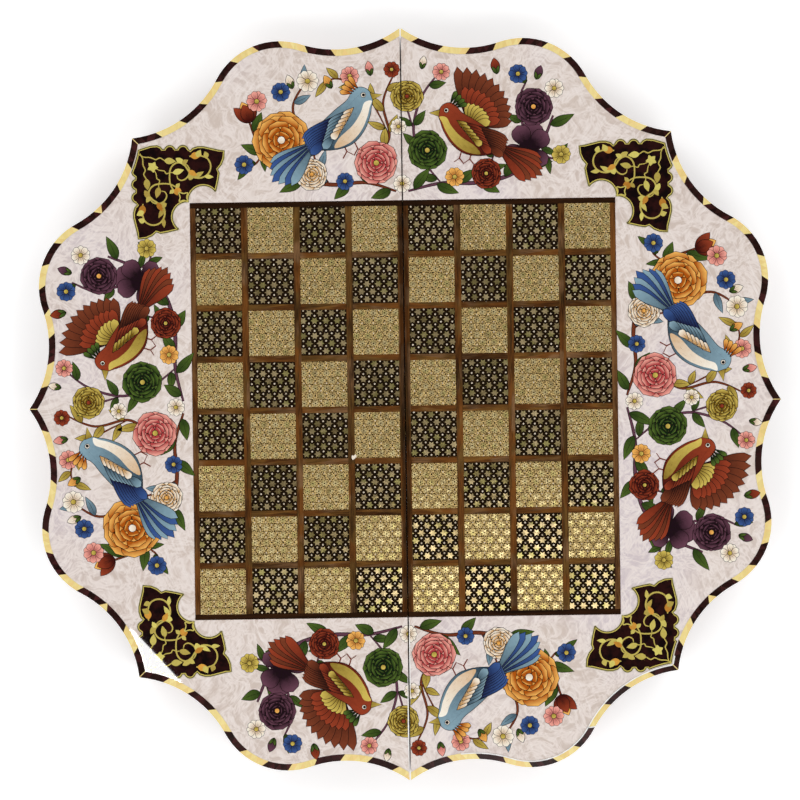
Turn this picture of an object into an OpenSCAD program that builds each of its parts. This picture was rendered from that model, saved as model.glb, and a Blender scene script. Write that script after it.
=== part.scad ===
// Folding board for chess and backgammon: two shallow trays with a wavy outline, hinged along the
// seam between them. It lies open with the chess field up, standing on its rims. The seam runs
// along Y at x = 0, the playing face looks along +Z and z = 0 is the surface that it stands on.

/* [Wave outline] */
// Distance from the board's centre to the points at its two sides
side_point_r = 250; // [245:0.5:255]
// Distance from the board's centre to the points at its four corners
corner_point_r = 253.5; // [249:0.5:258]
// Distance from the board's centre to the points at the seam's ends
seam_point_r = 250.5; // [245:0.5:255]
// Distance from the board's centre to the middle of each round lobe
lobe_centre_r = 211.3; // [207:0.1:215]
// Radius of each round lobe
lobe_r = 47.4; // [45:0.1:50]
// Radius of the hollow between a lobe and the point beside it
hollow_r = 73.7; // [70:0.1:77]

/* [Trays] */
// Gap between the two halves along the seam
seam_gap = 0.8; // [0.4:0.1:1.5]
// Thickness of the wavy walls
wall_t = 9; // [8:0.5:12]
// Width of the ledge in the walls that carries the core panel
ledge_w = 4; // [2:0.5:6]
// Thickness of the core panel
panel_t = 6; // [4:0.5:10]
// Thickness of the playing face
face_t = 2; // [1.5:0.25:4]
// Thickness of the field and the ornaments, which are let into the playing face
inlay_t = 1.2; // [0.6:0.1:1.3]
// Thickness of the veneer on the well's floor
floor_t = 1.5; // [1:0.25:3]
// Depth of the well, from the rims to its floor
well_depth = 24; // [15:1:40]
// Width of the rail along the seam that carries the hinges
rail_w = 10; // [9.5:0.5:14]
// Gap between the two rims when the board is folded shut
rim_gap = 0.3; // [0.2:0.05:0.6]

/* [Rim band] */
// Width of the band of dark and light blocks round the playing face
band_w = 4.3; // [3:0.1:6]
// Length of a dark block
dark_block = 17.6; // [14:0.1:18]
// How far the slanted end of a block leans across the band
block_lean = 3.2; // [0:0.1:4]
// Length of the light wedge where the blocks change the way they lean
wedge_light = 3.9; // [2:0.1:6]
// Length of the last light block, at each end of the seam
seam_light = 12.5; // [6:0.5:16]
// Width of the light line in the mitres at the side and corner points
mitre_line = 0.5; // [0.2:0.1:1]

/* [Chess field] */
// Width of the long strips between the columns
long_strip_w = 4.45; // [3:0.05:5]
// Width of the short strips between the rows
cross_strip_w = 4.1; // [3:0.05:5]
// Width of the strip beside the seam
seam_strip_w = 3.3; // [2:0.1:4]
// Width of the border at the field's two sides
side_border_w = 3.7; // [2:0.1:4.5]
// Width of the border at the field's front and back
end_border_w = 3.6; // [2:0.1:4.5]
// How far the field is laid from the board's middle, toward the front where negative
field_shift = -3; // [-4:0.5:4]

/* [Corner ornaments] */
// Gap between the field's corner and the ornament's inner corner
ornament_gap = 0.5; // [0.3:0.1:1]
// Distance along each side from the ornament's inner corner to its outer tip
ornament_size = 35; // [28:0.5:36]
// Distance across the board from an ornament's outer tip to the corner point
ornament_tip_gap = 2.2; // [1:0.1:5]

/* [Backgammon field] */
// Number of points along each side of one well
point_count = 6; // [6]
// Gap between the bases of neighbouring points
point_gap = 0.8; // [0.4:0.1:3]
// Share of the way to the field's middle that a point reaches
point_reach = 0.8; // [0.6:0.05:0.9]
// Width of the frame round the field
frame_w = 3.5; // [2:0.5:5]
// Distance across the board from the frame's corners to the corners of the walls
frame_gap = 4; // [3:0.5:12]

/* [Hinges] */
// Distance between neighbouring hinges
hinge_spacing = 150; // [100:5:180]
// Length of one hinge
hinge_len = 40; // [30:1:60]
// Number of knuckles in one hinge
knuckle_count = 5; // [3:2:7]
// Radius of the knuckles
knuckle_r = 1.5; // [1.3:0.1:2]
// Radius of the hinge pin
pin_r = 0.75; // [0.5:0.05:0.9]
// Running clearance round the pin in the right half's knuckles
pin_clear = 0.06; // [0.02:0.01:0.1]
// Gap between neighbouring knuckles
knuckle_gap = 0.2; // [0.1:0.05:0.5]
// Clearance round the knuckles, in the rails and the leaves
barrel_clear = 0.4; // [0.3:0.05:0.6]
// Thickness of the leaves
leaf_t = 1; // [0.8:0.1:1.5]
// Distance from the seam to the far edge of a leaf
leaf_reach = 9; // [8:0.1:9.2]
// Clearance between the ends of a leaf and its mortise
leaf_clear = 0.15; // [0.05:0.05:0.3]
// Radius of the peened heads on a hinge pin
pin_head_r = 1.1; // [1:0.05:1.2]
// Thickness of the peened heads
pin_head_t = 0.5; // [0.3:0.1:0.8]
// Radius of the screw shanks
screw_r = 0.9; // [0.7:0.05:1.1]
// Radius of the countersunk screw heads
screw_head_r = 1.9; // [1.5:0.1:2.2]
// Length of the screws
screw_len = 10; // [6:0.5:16]
// Distance between the two screws of a leaf
screw_spacing = 26; // [16:1:30]
// Width of the slot in a screw head
slot_w = 0.5; // [0.3:0.1:0.8]
// Depth of the slot in a screw head
slot_depth = 0.5; // [0.3:0.1:0.7]

/* [Magnets and pads] */
// Radius of the magnets in the rims
magnet_r = 3; // [2:0.25:3.5]
// Length of the magnets
magnet_len = 4; // [2:0.5:8]
// Glue gap round a magnet
magnet_clear = 0.05; // [0.02:0.01:0.1]
// Radius of the felt pads under the rims
pad_r = 3; // [2:0.25:3.25]
// Clearance between a pad and the recess that takes it when the board is shut
recess_clear = 0.4; // [0.3:0.1:0.6]
// Distance along the lobe's rim from the magnet to a pad or a recess
pad_offset = 21; // [12:1:24]

/* [Hidden] */
$fn = 120;

// The outline repeats eight times: a point, a hollow, a lobe and the next hollow in each octant
octant = 45;
octants = 8;
half_octant = octant / 2;
columns = 4;
rows = 8;
hinge_count = 3;
// Cutting shapes reach this far past what they cut
overcut = 1.5;
// Larger than the board, for cutting it into halves and octants
beyond = 2 * corner_point_r;
degree = PI / 180;

// Heights, from the surface that the board stands on
axis_z = knuckle_r;
rim_z = axis_z + rim_gap / 2;
floor_z = rim_z + well_depth;
panel_z = floor_z + floor_t;
face_z = panel_z + panel_t;
inlay_z = face_z + face_t - inlay_t;

// Middle of the lobe in the first octant, which lies halfway between its two points
lobe_centre = polar(lobe_centre_r, half_octant);

// Places across one half, from the seam outward
half_x = seam_gap / 2;
first_tile_x = half_x + seam_strip_w;
ornament_x = corner_reach(0) - ornament_tip_gap - ornament_size;
field_x = ornament_x - ornament_gap;
side_border_x = field_x - side_border_w;
tile_step = (side_border_x + long_strip_w - first_tile_x) / columns;
tile = tile_step - long_strip_w;
well_x = half_x + rail_w;
first_point_x = well_x + frame_w;
frame_outer_x = corner_reach(wall_t) - frame_gap;
frame_x = frame_outer_x - frame_w;
point_pitch = (frame_x - first_point_x) / point_count;
point_base = point_pitch - point_gap;

// Places along the seam
row_step = tile + cross_strip_w;
tiles_y = (rows * row_step - cross_strip_w) / 2;
field_y = tiles_y + end_border_w;
frame_y = frame_outer_x;
point_row_y = frame_x;
point_len = point_reach * point_row_y;

// The pads stand as far below the rims as the knuckles do, and sink into the facing recesses
pad_t = rim_z;
recess_r = pad_r + recess_clear;
recess_depth = pad_t - rim_gap + recess_clear;
magnet_hole_r = magnet_r + magnet_clear;
knuckle_step = hinge_len / knuckle_count;
leaf_start = knuckle_r + barrel_clear;
screw_x = (leaf_start + leaf_reach) / 2;

function polar(radius, angle) = [radius * cos(angle), radius * sin(angle)];
function bearing(v) = (atan2(v[1], v[0]) + 360) % 360;
function turned(v, angle) = [v[0] * cos(angle) - v[1] * sin(angle), v[0] * sin(angle) + v[1] * cos(angle)];
function flipped(v) = [v[0], -v[1]];

// Middle of the hollow that starts at a point on the X axis and runs smoothly into the lobe
function hollow_centre(point_r) =
    let(point = [point_r, 0],
        across = lobe_centre - point,
        gap = norm(across),
        ahead = across / gap,
        along = (hollow_r ^ 2 - (hollow_r + lobe_r) ^ 2 + gap ^ 2) / (2 * gap),
        aside = sqrt(hollow_r ^ 2 - along ^ 2))
    point + along * ahead + aside * [ahead[1], -ahead[0]];

// How far across the board a corner of the outline reaches, once the outline is drawn in
function corner_reach(inset) =
    let(hollow = hollow_centre(corner_point_r))
    (hollow[0] - sqrt((hollow_r + inset) ^ 2 - hollow[1] ^ 2)) / sqrt(2);

// Middle of the hollow at the other end of the octant
function far_hollow_centre(point_r) = turned(flipped(hollow_centre(point_r)), octant);

// Points at the sides, at the seam's ends and at the corners take turns round the board
function point_r_at(k) =
    k % 4 == 0 ? side_point_r :
    k % 2 == 0 ? seam_point_r : corner_point_r;

// The whole board's outline, drawn in by the given distance
module outline_2d(inset) {
    difference() {
        polygon([for (k = [0:octants - 1]) each [
            turned(flipped(hollow_centre(point_r_at(k))), octant * k),
            turned(hollow_centre(point_r_at(k)), octant * k),
            turned(lobe_centre, octant * k)
        ]]);
        for (k = [0:octants - 1], side = [0, 1])
            rotate(octant * k)
                mirror([0, side])
                    translate(hollow_centre(point_r_at(k)))
                        circle(hollow_r + inset);
    }
    for (k = [0:octants - 1])
        rotate(octant * k)
            translate(lobe_centre)
                circle(lobe_r - inset);
}

// Everything on the right of the seam
module half_plane_2d() translate([half_x, -beyond]) square([beyond, 2 * beyond]);

module half_outline_2d(inset) {
    intersection() {
        outline_2d(inset);
        half_plane_2d();
    }
}

// One octant of the plane, from the given multiple of 45 degrees
module octant_2d(k) polygon([[0, 0], polar(beyond, octant * k), polar(beyond, octant * (k + 1))]);

// Pieces are drawn for the right half, and the left half mirrors them
module left_half() mirror([1, 0, 0]) children();

// A wavy wall piece covers one octant, between two of the outline's points
module wall_ring_2d(k, thickness) {
    intersection() {
        difference() {
            outline_2d(0);
            outline_2d(thickness);
        }
        octant_2d(k);
        half_plane_2d();
    }
}

module wall(k) {
    color("saddlebrown") {
        translate([0, 0, rim_z]) linear_extrude(well_depth + floor_t) wall_ring_2d(k, wall_t);
        translate([0, 0, panel_z]) linear_extrude(panel_t) wall_ring_2d(k, wall_t - ledge_w);
    }
}

// Places along the middle of the rim, at a distance from the lobe's top toward its corner point
function rim_spot(along) =
    let(rim_r = lobe_r - wall_t / 2)
    lobe_centre + polar(rim_r, half_octant + along / rim_r / degree);

// A side wall also holds a magnet and a recess for the other half's pad
module side_wall(k, recess_along) {
    difference() {
        wall(k);
        mirror([0, k < 0 ? 1 : 0, 0]) {
            translate([each rim_spot(0), rim_z - overcut])
                cylinder(r = magnet_hole_r, h = magnet_len + overcut);
            translate([each rim_spot(recess_along), rim_z - overcut])
                cylinder(r = recess_r, h = recess_depth + overcut);
        }
    }
}

module core_panel() {
    color("burlywood")
        translate([0, 0, panel_z])
            linear_extrude(panel_t)
                half_outline_2d(wall_t - ledge_w);
}

// Hinges stand at equal distances along the seam
function hinge_y(i) = (i - (hinge_count - 1) / 2) * hinge_spacing;

module hinge_rail() {
    color("sienna")
        difference() {
            translate([0, 0, rim_z])
                linear_extrude(panel_z - rim_z)
                    intersection() {
                        half_outline_2d(wall_t);
                        translate([0, -beyond]) square([well_x, 2 * beyond]);
                    }
            for (i = [0:hinge_count - 1])
                translate([0, hinge_y(i), 0]) {
                    leaf_mortise();
                    barrel_relief();
                    leaf_screws(0);
                }
        }
}

module leaf_mortise() {
    mortise_len = hinge_len + 2 * leaf_clear;
    translate([0, -mortise_len / 2, rim_z - overcut])
        cube([leaf_reach + leaf_clear, mortise_len, leaf_t + overcut]);
}

module barrel_relief() {
    relief_len = hinge_len + 2 * (pin_head_t + barrel_clear);
    translate([0, relief_len / 2, axis_z])
        rotate([90, 0, 0]) cylinder(r = knuckle_r + barrel_clear, h = relief_len);
}

// The playing face is a layer as thick as the blocks round it
module face_layer() translate([0, 0, face_z]) linear_extrude(face_t) children();

// The field and the ornaments are flat pieces, set edge to edge in a recess of the face
module inlay_layer() translate([0, 0, inlay_z]) linear_extrude(inlay_t) children();

// The chess field and the ornaments at its corners are laid a little off the board's middle
module on_field() translate([0, field_shift]) children();

module field_2d() translate([0, -field_y]) square([field_x, 2 * field_y]);

module face_ground() {
    color("mistyrose")
        difference() {
            face_layer() half_outline_2d(band_w);
            translate([0, 0, inlay_z])
                linear_extrude(inlay_t + overcut) {
                    on_field() field_2d();
                    ornaments_2d();
                }
        }
}

// An ornament, from its inner corner at the origin to its outer tip at [1, 1]: each arm has a notched
// end, a round hollow under it and two round bumps on its outer edge
module ornament_2d() {
    bump_r = 0.12;
    bumps = [[0.1, 0.98], [0.35, 0.98]];
    hollow_r = 0.27;
    hollow = [-hollow_r - 0.004, 0.03];
    arm = [
        [-0.53, 0.2], [-0.58, 0.42], [-0.6, 0.55], [-0.57, 0.62], [-0.64, 0.7], [-0.69, 0.82], [-0.7, 0.98],
        [-0.58, 1], [-0.46, 1.03], [-0.29, 1.07], [-0.18, 1.07], [-0.08, 1.04], [-0.03, 0.99],
        each [for (bump = bumps) each [for (angle = [160:-20:20]) bump + polar(bump_r, angle)]],
        [0.48, 1.02], [0.52, 1.07], [0.59, 1.1], [0.72, 1.09], [0.82, 1.06], [0.91, 1.03]
    ];
    difference() {
        polygon([
            [0, 0],
            each arm,
            [1, 1],
            each [for (i = [len(arm) - 1:-1:0]) [arm[i][1], arm[i][0]]]
        ]);
        translate(hollow) circle(hollow_r);
        translate([hollow[1], hollow[0]]) circle(hollow_r);
    }
}

// Both ornaments of the half, trimmed where they meet the rim band
module ornaments_2d() {
    intersection() {
        on_field()
            for (end = [0, 1])
                mirror([0, end])
                    translate([ornament_x, field_y + ornament_gap])
                        scale(ornament_size) ornament_2d();
        outline_2d(band_w + ornament_gap);
    }
}

module corner_ornaments() color("darkslategray") inlay_layer() ornaments_2d();

// A place on the first octant's edge, by its distance along the edge from the first point
function edge_place(start_r, end_r, along, inset) =
    let(near = hollow_centre(start_r),
        near_from = bearing([start_r, 0] - near),
        near_to = bearing(lobe_centre - near),
        far = far_hollow_centre(end_r),
        far_from = bearing(lobe_centre - far),
        near_len = (near_from - near_to) * hollow_r * degree,
        lobe_len = (far_from - near_to) * lobe_r * degree)
    along < near_len ?
        near + polar(hollow_r + inset, near_from - along / hollow_r / degree) :
    along < near_len + lobe_len ?
        lobe_centre + polar(lobe_r - inset, near_to - 180 + (along - near_len) / lobe_r / degree) :
        far + polar(hollow_r + inset, far_from - (along - near_len - lobe_len) / hollow_r / degree);

// The length of the edge between the octant's two points
function edge_len(start_r, end_r) =
    let(near = hollow_centre(start_r),
        far = far_hollow_centre(end_r),
        near_to = bearing(lobe_centre - near),
        far_from = bearing(lobe_centre - far))
    let(hollow_turn = bearing([start_r, 0] - near) - near_to + far_from - bearing(polar(end_r, octant) - far))
    degree * (hollow_r * hollow_turn + lobe_r * (far_from - near_to));

// One slanted block across the band, where lean moves its outer side along the edge
module band_block_2d(start_r, end_r, from, to, lean) {
    outer = -overcut;
    inner = band_w + overcut;
    outer_shift = lean * (0.5 - outer / band_w);
    inner_shift = lean * (0.5 - inner / band_w);
    polygon([
        edge_place(start_r, end_r, from + outer_shift, outer),
        edge_place(start_r, end_r, to + outer_shift, outer),
        edge_place(start_r, end_r, to + inner_shift, inner),
        edge_place(start_r, end_r, from + inner_shift, inner)
    ]);
}

// From a side point to a corner point: five blocks lean one way, two the other, with a wedge between
module side_blocks_2d() {
    run = 5;
    returning = 2;
    whole = edge_len(side_point_r, corner_point_r);
    light = (whole - (run + returning) * dark_block - wedge_light) / (run + returning - 2);
    step = dark_block + light;
    intersection() {
        union() {
            for (i = [0:run - 1])
                band_block_2d(side_point_r, corner_point_r,
                    i == 0 ? -band_w : i * step, i * step + dark_block, -block_lean);
            for (i = [0:returning - 1])
                band_block_2d(side_point_r, corner_point_r,
                    whole - i * step - dark_block, i == 0 ? whole + band_w : whole - i * step, block_lean);
        }
        octant_2d(0);
    }
}

// From a corner point to the seam: six blocks, and a light one up to the seam
module seam_blocks_2d() {
    run = 6;
    whole = edge_len(corner_point_r, seam_point_r);
    step = (whole - dark_block - seam_light) / (run - 1);
    intersection() {
        for (i = [0:run - 1])
            band_block_2d(corner_point_r, seam_point_r,
                i == 0 ? -band_w : i * step, i * step + dark_block, -block_lean);
        octant_2d(0);
    }
}

module dark_band_2d() {
    difference() {
        for (end = [0, 1])
            mirror([0, end]) {
                side_blocks_2d();
                rotate(octant) seam_blocks_2d();
            }
        for (k = [-1:1])
            rotate(octant * k) translate([0, -mitre_line / 2]) square([beyond, mitre_line]);
    }
}

module band_2d() {
    difference() {
        half_outline_2d(0);
        outline_2d(band_w);
    }
}

module rim_dark_blocks() {
    color("maroon")
        face_layer()
            intersection() {
                band_2d();
                dark_band_2d();
            }
}

module rim_light_blocks() {
    color("khaki")
        face_layer()
            difference() {
                band_2d();
                dark_band_2d();
            }
}

module end_borders() {
    color("darkolivegreen")
        inlay_layer()
            on_field()
                for (end = [0, 1])
                    mirror([0, end]) translate([half_x, tiles_y]) square([field_x - half_x, end_border_w]);
}

module side_border() {
    color("peru")
        inlay_layer()
            on_field() translate([side_border_x, -tiles_y]) square([side_border_w, 2 * tiles_y]);
}

module long_strips() {
    color("chocolate")
        inlay_layer()
            on_field() {
                translate([half_x, -tiles_y]) square([seam_strip_w, 2 * tiles_y]);
                for (i = [1:columns - 1])
                    translate([first_tile_x + i * tile_step - long_strip_w, -tiles_y])
                        square([long_strip_w, 2 * tiles_y]);
            }
}

module cross_strips() {
    color("brown")
        inlay_layer()
            on_field()
                for (i = [0:columns - 1], j = [1:rows - 1])
                    translate([first_tile_x + i * tile_step, -tiles_y + j * row_step - cross_strip_w])
                        square([tile, cross_strip_w]);
}

// Tiles whose column and row add up to an odd or an even number
module tiles(parity) {
    inlay_layer()
        on_field()
            for (i = [0:columns - 1], j = [0:rows - 1])
                if ((i + j) % 2 == parity)
                    translate([first_tile_x + i * tile_step, -tiles_y + j * row_step]) square(tile);
}

// The well's floor is a layer of veneer under the core panel
module floor_layer() translate([0, 0, floor_z]) linear_extrude(floor_t) children();

module well_2d() {
    intersection() {
        half_outline_2d(wall_t);
        translate([well_x, -beyond]) square([beyond, 2 * beyond]);
    }
}

module frame_outer_2d() translate([well_x, -frame_y]) square([frame_outer_x - well_x, 2 * frame_y]);

module frame_inner_2d() {
    translate([first_point_x, -point_row_y]) square([frame_x - first_point_x, 2 * point_row_y]);
}

// Points whose place in the row is odd or even, at the back, and the other way round at the front
module points_2d(parity) {
    for (end = [0, 1], i = [0:point_count - 1])
        if ((i + end) % 2 == parity)
            mirror([0, end])
                translate([first_point_x + (i + 0.5) * point_pitch, point_row_y])
                    polygon([[-point_base / 2, 0], [point_base / 2, 0], [0, -point_len]]);
}

module well_ground() {
    color("wheat")
        floor_layer()
            difference() {
                frame_inner_2d();
                points_2d(0);
                points_2d(1);
            }
}

module well_margin() {
    color("tan")
        floor_layer()
            difference() {
                well_2d();
                frame_outer_2d();
            }
}

module well_frame() {
    color("darkred")
        floor_layer()
            difference() {
                frame_outer_2d();
                frame_inner_2d();
            }
}

module magnets() {
    color("silver")
        for (end = [0, 1])
            mirror([0, end, 0]) translate([each rim_spot(0), rim_z]) cylinder(r = magnet_r, h = magnet_len);
}

module pads(along) {
    color("darkgreen")
        for (end = [0, 1])
            mirror([0, end, 0]) translate([each rim_spot(along), 0]) cylinder(r = pad_r, h = pad_t);
}

// The two screws of one leaf, with slots of the given depth in their heads
module leaf_screws(slot) {
    for (end = [-1, 1])
        translate([screw_x, end * screw_spacing / 2, rim_z])
            difference() {
                union() {
                    cylinder(r1 = screw_head_r, r2 = screw_r, h = leaf_t);
                    cylinder(r = screw_r, h = screw_len);
                }
                if (slot > 0)
                    translate([-screw_head_r, -slot_w / 2, -slot]) cube([2 * screw_head_r, slot_w, 2 * slot]);
            }
}

// One leaf, whose knuckles are the odd or the even ones along the hinge
module leaf(parity, bore_r) {
    difference() {
        union() {
            translate([leaf_start, -hinge_len / 2, rim_z]) cube([leaf_reach - leaf_start, hinge_len, leaf_t]);
            for (i = [0:knuckle_count - 1])
                if (i % 2 == parity)
                    translate([0, -hinge_len / 2 + i * knuckle_step + knuckle_gap / 2, 0]) {
                        length = knuckle_step - knuckle_gap;
                        translate([0, length, axis_z]) rotate([90, 0, 0]) cylinder(r = knuckle_r, h = length);
                        translate([0, 0, rim_z]) cube([leaf_start, length, leaf_t]);
                    }
        }
        translate([0, hinge_len, axis_z]) rotate([90, 0, 0]) cylinder(r = bore_r, h = 2 * hinge_len);
        leaf_screws(0);
    }
}

module hinge_leaves(parity, bore_r) {
    color("gold")
        for (i = [0:hinge_count - 1])
            translate([0, hinge_y(i), 0]) leaf(parity, bore_r);
}

module hinge_screws() {
    color("goldenrod")
        for (i = [0:hinge_count - 1])
            translate([0, hinge_y(i), 0]) leaf_screws(slot_depth);
}

module hinge_pins() {
    barrel_len = hinge_len - knuckle_gap;
    color("darkgoldenrod")
        for (i = [0:hinge_count - 1])
            translate([0, hinge_y(i), axis_z])
                rotate([90, 0, 0]) {
                    translate([0, 0, -barrel_len / 2]) cylinder(r = pin_r, h = barrel_len);
                    for (end = [0, 1])
                        mirror([0, 0, end])
                            translate([0, 0, barrel_len / 2]) cylinder(r = pin_head_r, h = pin_head_t);
                }
}

// The left half's pads stand nearer the sides and the right half's nearer the corners
module left_core_panel() left_half() core_panel();
module right_core_panel() core_panel();
module left_wall_seam_back() left_half() wall(1);
module right_wall_seam_back() wall(1);
module left_wall_side_back() left_half() side_wall(0, pad_offset);
module right_wall_side_back() side_wall(0, -pad_offset);
module left_wall_side_front() left_half() side_wall(-1, pad_offset);
module right_wall_side_front() side_wall(-1, -pad_offset);
module left_wall_seam_front() left_half() wall(-2);
module right_wall_seam_front() wall(-2);
module left_hinge_rail() left_half() hinge_rail();
module right_hinge_rail() hinge_rail();
module left_face_ground() left_half() face_ground();
module right_face_ground() face_ground();
module left_rim_dark_blocks() left_half() rim_dark_blocks();
module right_rim_dark_blocks() rim_dark_blocks();
module left_rim_light_blocks() left_half() rim_light_blocks();
module right_rim_light_blocks() rim_light_blocks();
module left_corner_ornaments() left_half() corner_ornaments();
module right_corner_ornaments() corner_ornaments();
module left_end_borders() left_half() end_borders();
module right_end_borders() end_borders();
module left_side_border() left_half() side_border();
module right_side_border() side_border();
module left_long_strips() left_half() long_strips();
module right_long_strips() long_strips();
module left_cross_strips() left_half() cross_strips();
module right_cross_strips() cross_strips();
module left_dark_tiles() color("black") left_half() tiles(0);
module right_dark_tiles() color("black") tiles(1);
module left_light_tiles() color("beige") left_half() tiles(1);
module right_light_tiles() color("beige") tiles(0);
module left_well_ground() left_half() well_ground();
module right_well_ground() well_ground();
module left_well_margin() left_half() well_margin();
module right_well_margin() well_margin();
module left_well_frame() left_half() well_frame();
module right_well_frame() well_frame();
module left_dark_points() color("indigo") left_half() floor_layer() points_2d(0);
module right_dark_points() color("indigo") floor_layer() points_2d(1);
module left_light_points() color("orange") left_half() floor_layer() points_2d(1);
module right_light_points() color("orange") floor_layer() points_2d(0);
module left_magnets() left_half() magnets();
module right_magnets() magnets();
module left_pads() left_half() pads(-pad_offset);
module right_pads() pads(pad_offset);
module left_hinge_leaves() left_half() hinge_leaves(0, pin_r);
module right_hinge_leaves() hinge_leaves(1, pin_r + pin_clear);
module left_hinge_screws() left_half() hinge_screws();
module right_hinge_screws() hinge_screws();

left_core_panel();
right_core_panel();
left_wall_seam_back();
right_wall_seam_back();
left_wall_side_back();
right_wall_side_back();
left_wall_side_front();
right_wall_side_front();
left_wall_seam_front();
right_wall_seam_front();
left_hinge_rail();
right_hinge_rail();
left_face_ground();
right_face_ground();
left_rim_dark_blocks();
right_rim_dark_blocks();
left_rim_light_blocks();
right_rim_light_blocks();
left_corner_ornaments();
right_corner_ornaments();
left_end_borders();
right_end_borders();
left_side_border();
right_side_border();
left_long_strips();
right_long_strips();
left_cross_strips();
right_cross_strips();
left_dark_tiles();
right_dark_tiles();
left_light_tiles();
right_light_tiles();
left_well_ground();
right_well_ground();
left_well_margin();
right_well_margin();
left_well_frame();
right_well_frame();
left_dark_points();
right_dark_points();
left_light_points();
right_light_points();
left_magnets();
right_magnets();
left_pads();
right_pads();
left_hinge_leaves();
right_hinge_leaves();
left_hinge_screws();
right_hinge_screws();
hinge_pins();
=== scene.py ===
# %% [markdown]
# # A folding board for chess and backgammon
# Two shallow wooden trays are hinged along a seam. Opened and turned over, their backs make a chess
# board: squares of star marquetry between walnut strips, a pearly ground with painted flowers and
# birds, gilt corner ornaments and a rim of dark and light blocks, all under thick clear lacquer.
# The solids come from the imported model, the fixed frame. This lesson gives each of them its finish,
# and lays the fine pieces on them that are too thin for a solid: stars, gilding and paint.

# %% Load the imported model
import math
import random

import bmesh
import bpy
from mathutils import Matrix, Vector
from mathutils.geometry import tessellate_polygon


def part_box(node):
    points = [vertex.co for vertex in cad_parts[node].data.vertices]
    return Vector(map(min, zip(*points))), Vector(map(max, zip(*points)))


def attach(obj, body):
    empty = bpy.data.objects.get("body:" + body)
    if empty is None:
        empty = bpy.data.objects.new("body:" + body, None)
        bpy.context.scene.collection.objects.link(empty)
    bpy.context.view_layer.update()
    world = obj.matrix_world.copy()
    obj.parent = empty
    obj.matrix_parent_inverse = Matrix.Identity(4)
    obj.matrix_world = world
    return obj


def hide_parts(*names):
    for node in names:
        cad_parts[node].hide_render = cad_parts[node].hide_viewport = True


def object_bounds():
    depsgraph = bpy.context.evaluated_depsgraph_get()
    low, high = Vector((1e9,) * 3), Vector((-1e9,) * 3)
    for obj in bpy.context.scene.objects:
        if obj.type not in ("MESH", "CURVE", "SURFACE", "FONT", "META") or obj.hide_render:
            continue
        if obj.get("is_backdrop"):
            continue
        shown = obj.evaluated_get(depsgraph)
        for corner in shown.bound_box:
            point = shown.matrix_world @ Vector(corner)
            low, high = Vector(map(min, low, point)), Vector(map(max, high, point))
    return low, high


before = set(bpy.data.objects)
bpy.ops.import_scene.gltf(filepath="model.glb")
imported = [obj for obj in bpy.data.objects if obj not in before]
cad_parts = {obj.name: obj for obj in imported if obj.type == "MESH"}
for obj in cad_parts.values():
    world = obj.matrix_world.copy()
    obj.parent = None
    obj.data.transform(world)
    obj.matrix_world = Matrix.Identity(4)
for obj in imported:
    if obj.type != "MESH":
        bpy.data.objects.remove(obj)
cad_low, cad_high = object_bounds()
MM = 0.001
print("the solids reach from", tuple(cad_low), "to", tuple(cad_high))

# %% [markdown]
# The places that the fine pieces need are read from the solids, so that they follow a changed
# model. The seam runs along Y at x = 0, and the face looks up along Z.

# %% Measure the face
half_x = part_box("right_face_ground")[0].x
face_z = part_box("right_face_ground")[1].z
field_low, field_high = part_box("right_end_borders")
field_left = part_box("left_side_border")[0].x
field_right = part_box("right_side_border")[1].x
HALVES = ("left", "right")


def spans(node, axis):
    """Where the node's pieces start and end along an axis, for pieces that stand in rows."""
    places = sorted({round(v.co[axis], 5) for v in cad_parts[node].data.vertices})
    return list(zip(places[::2], places[1::2]))


tile_columns = spans("right_dark_tiles", 0)
tile_rows = spans("right_dark_tiles", 1)
column_step = tile_columns[1][0] - tile_columns[0][0]
row_step = tile_rows[1][0] - tile_rows[0][0]
print("a square every", column_step / MM, "by", row_step / MM, "mm")

# %% [markdown]
# The photograph looks straight down on the board, which lies turned by less than a degree. A long
# lens far above the face keeps the view nearly parallel, as there. The camera's place comes from
# the pixel under the board's middle and from the board's size per pixel.

# %% Camera
IMAGE_MIDDLE = 400
BOARD_MIDDLE_PIXEL = (405.2, 404.2)
PIXEL = 0.6652 * MM
BOARD_TURN = math.radians(0.787)
CAMERA_HEIGHT = 1.6
SENSOR = 36
image_right = Vector((math.cos(BOARD_TURN), -math.sin(BOARD_TURN), 0))
image_up = Vector((math.sin(BOARD_TURN), math.cos(BOARD_TURN), 0))
aside = image_right * (IMAGE_MIDDLE - BOARD_MIDDLE_PIXEL[0]) * PIXEL
ahead = image_up * (BOARD_MIDDLE_PIXEL[1] - IMAGE_MIDDLE) * PIXEL


def add_object(name, data):
    """Puts a new object into the scene."""
    made = bpy.data.objects.new(name, data)
    bpy.context.collection.objects.link(made)
    return made


camera_data = bpy.data.cameras.new("camera")
camera_data.sensor_width = SENSOR
camera_data.lens = SENSOR * CAMERA_HEIGHT / (2 * IMAGE_MIDDLE * PIXEL)
camera = add_object("camera", camera_data)
camera.location = aside + ahead + Vector((0, 0, face_z + CAMERA_HEIGHT))
camera.rotation_euler = (0, 0, -BOARD_TURN)
bpy.context.scene.camera = camera
bpy.context.scene.view_settings.view_transform = "Standard"
print("lens", camera_data.lens)

# %% [markdown]
# Shader maths reads best as plain sums. A Wire is one socket in a material, and adding or
# multiplying wires adds the Math nodes that do it, so that 1 - mask works as written. Every other
# node comes from one function, which takes its type, its settings and what its sockets hold.


# %% Wires and nodes
def add_node(tree, kind, settings=None, sockets=None, output=0):
    node = tree.nodes.new(kind)
    for name, value in (settings or {}).items():
        setattr(node, name, value)
    for name, value in (sockets or {}).items():
        if isinstance(value, Wire):
            tree.links.new(value.socket, node.inputs[name])
        else:
            node.inputs[name].default_value = value
    return Wire(node.outputs[output])


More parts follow.
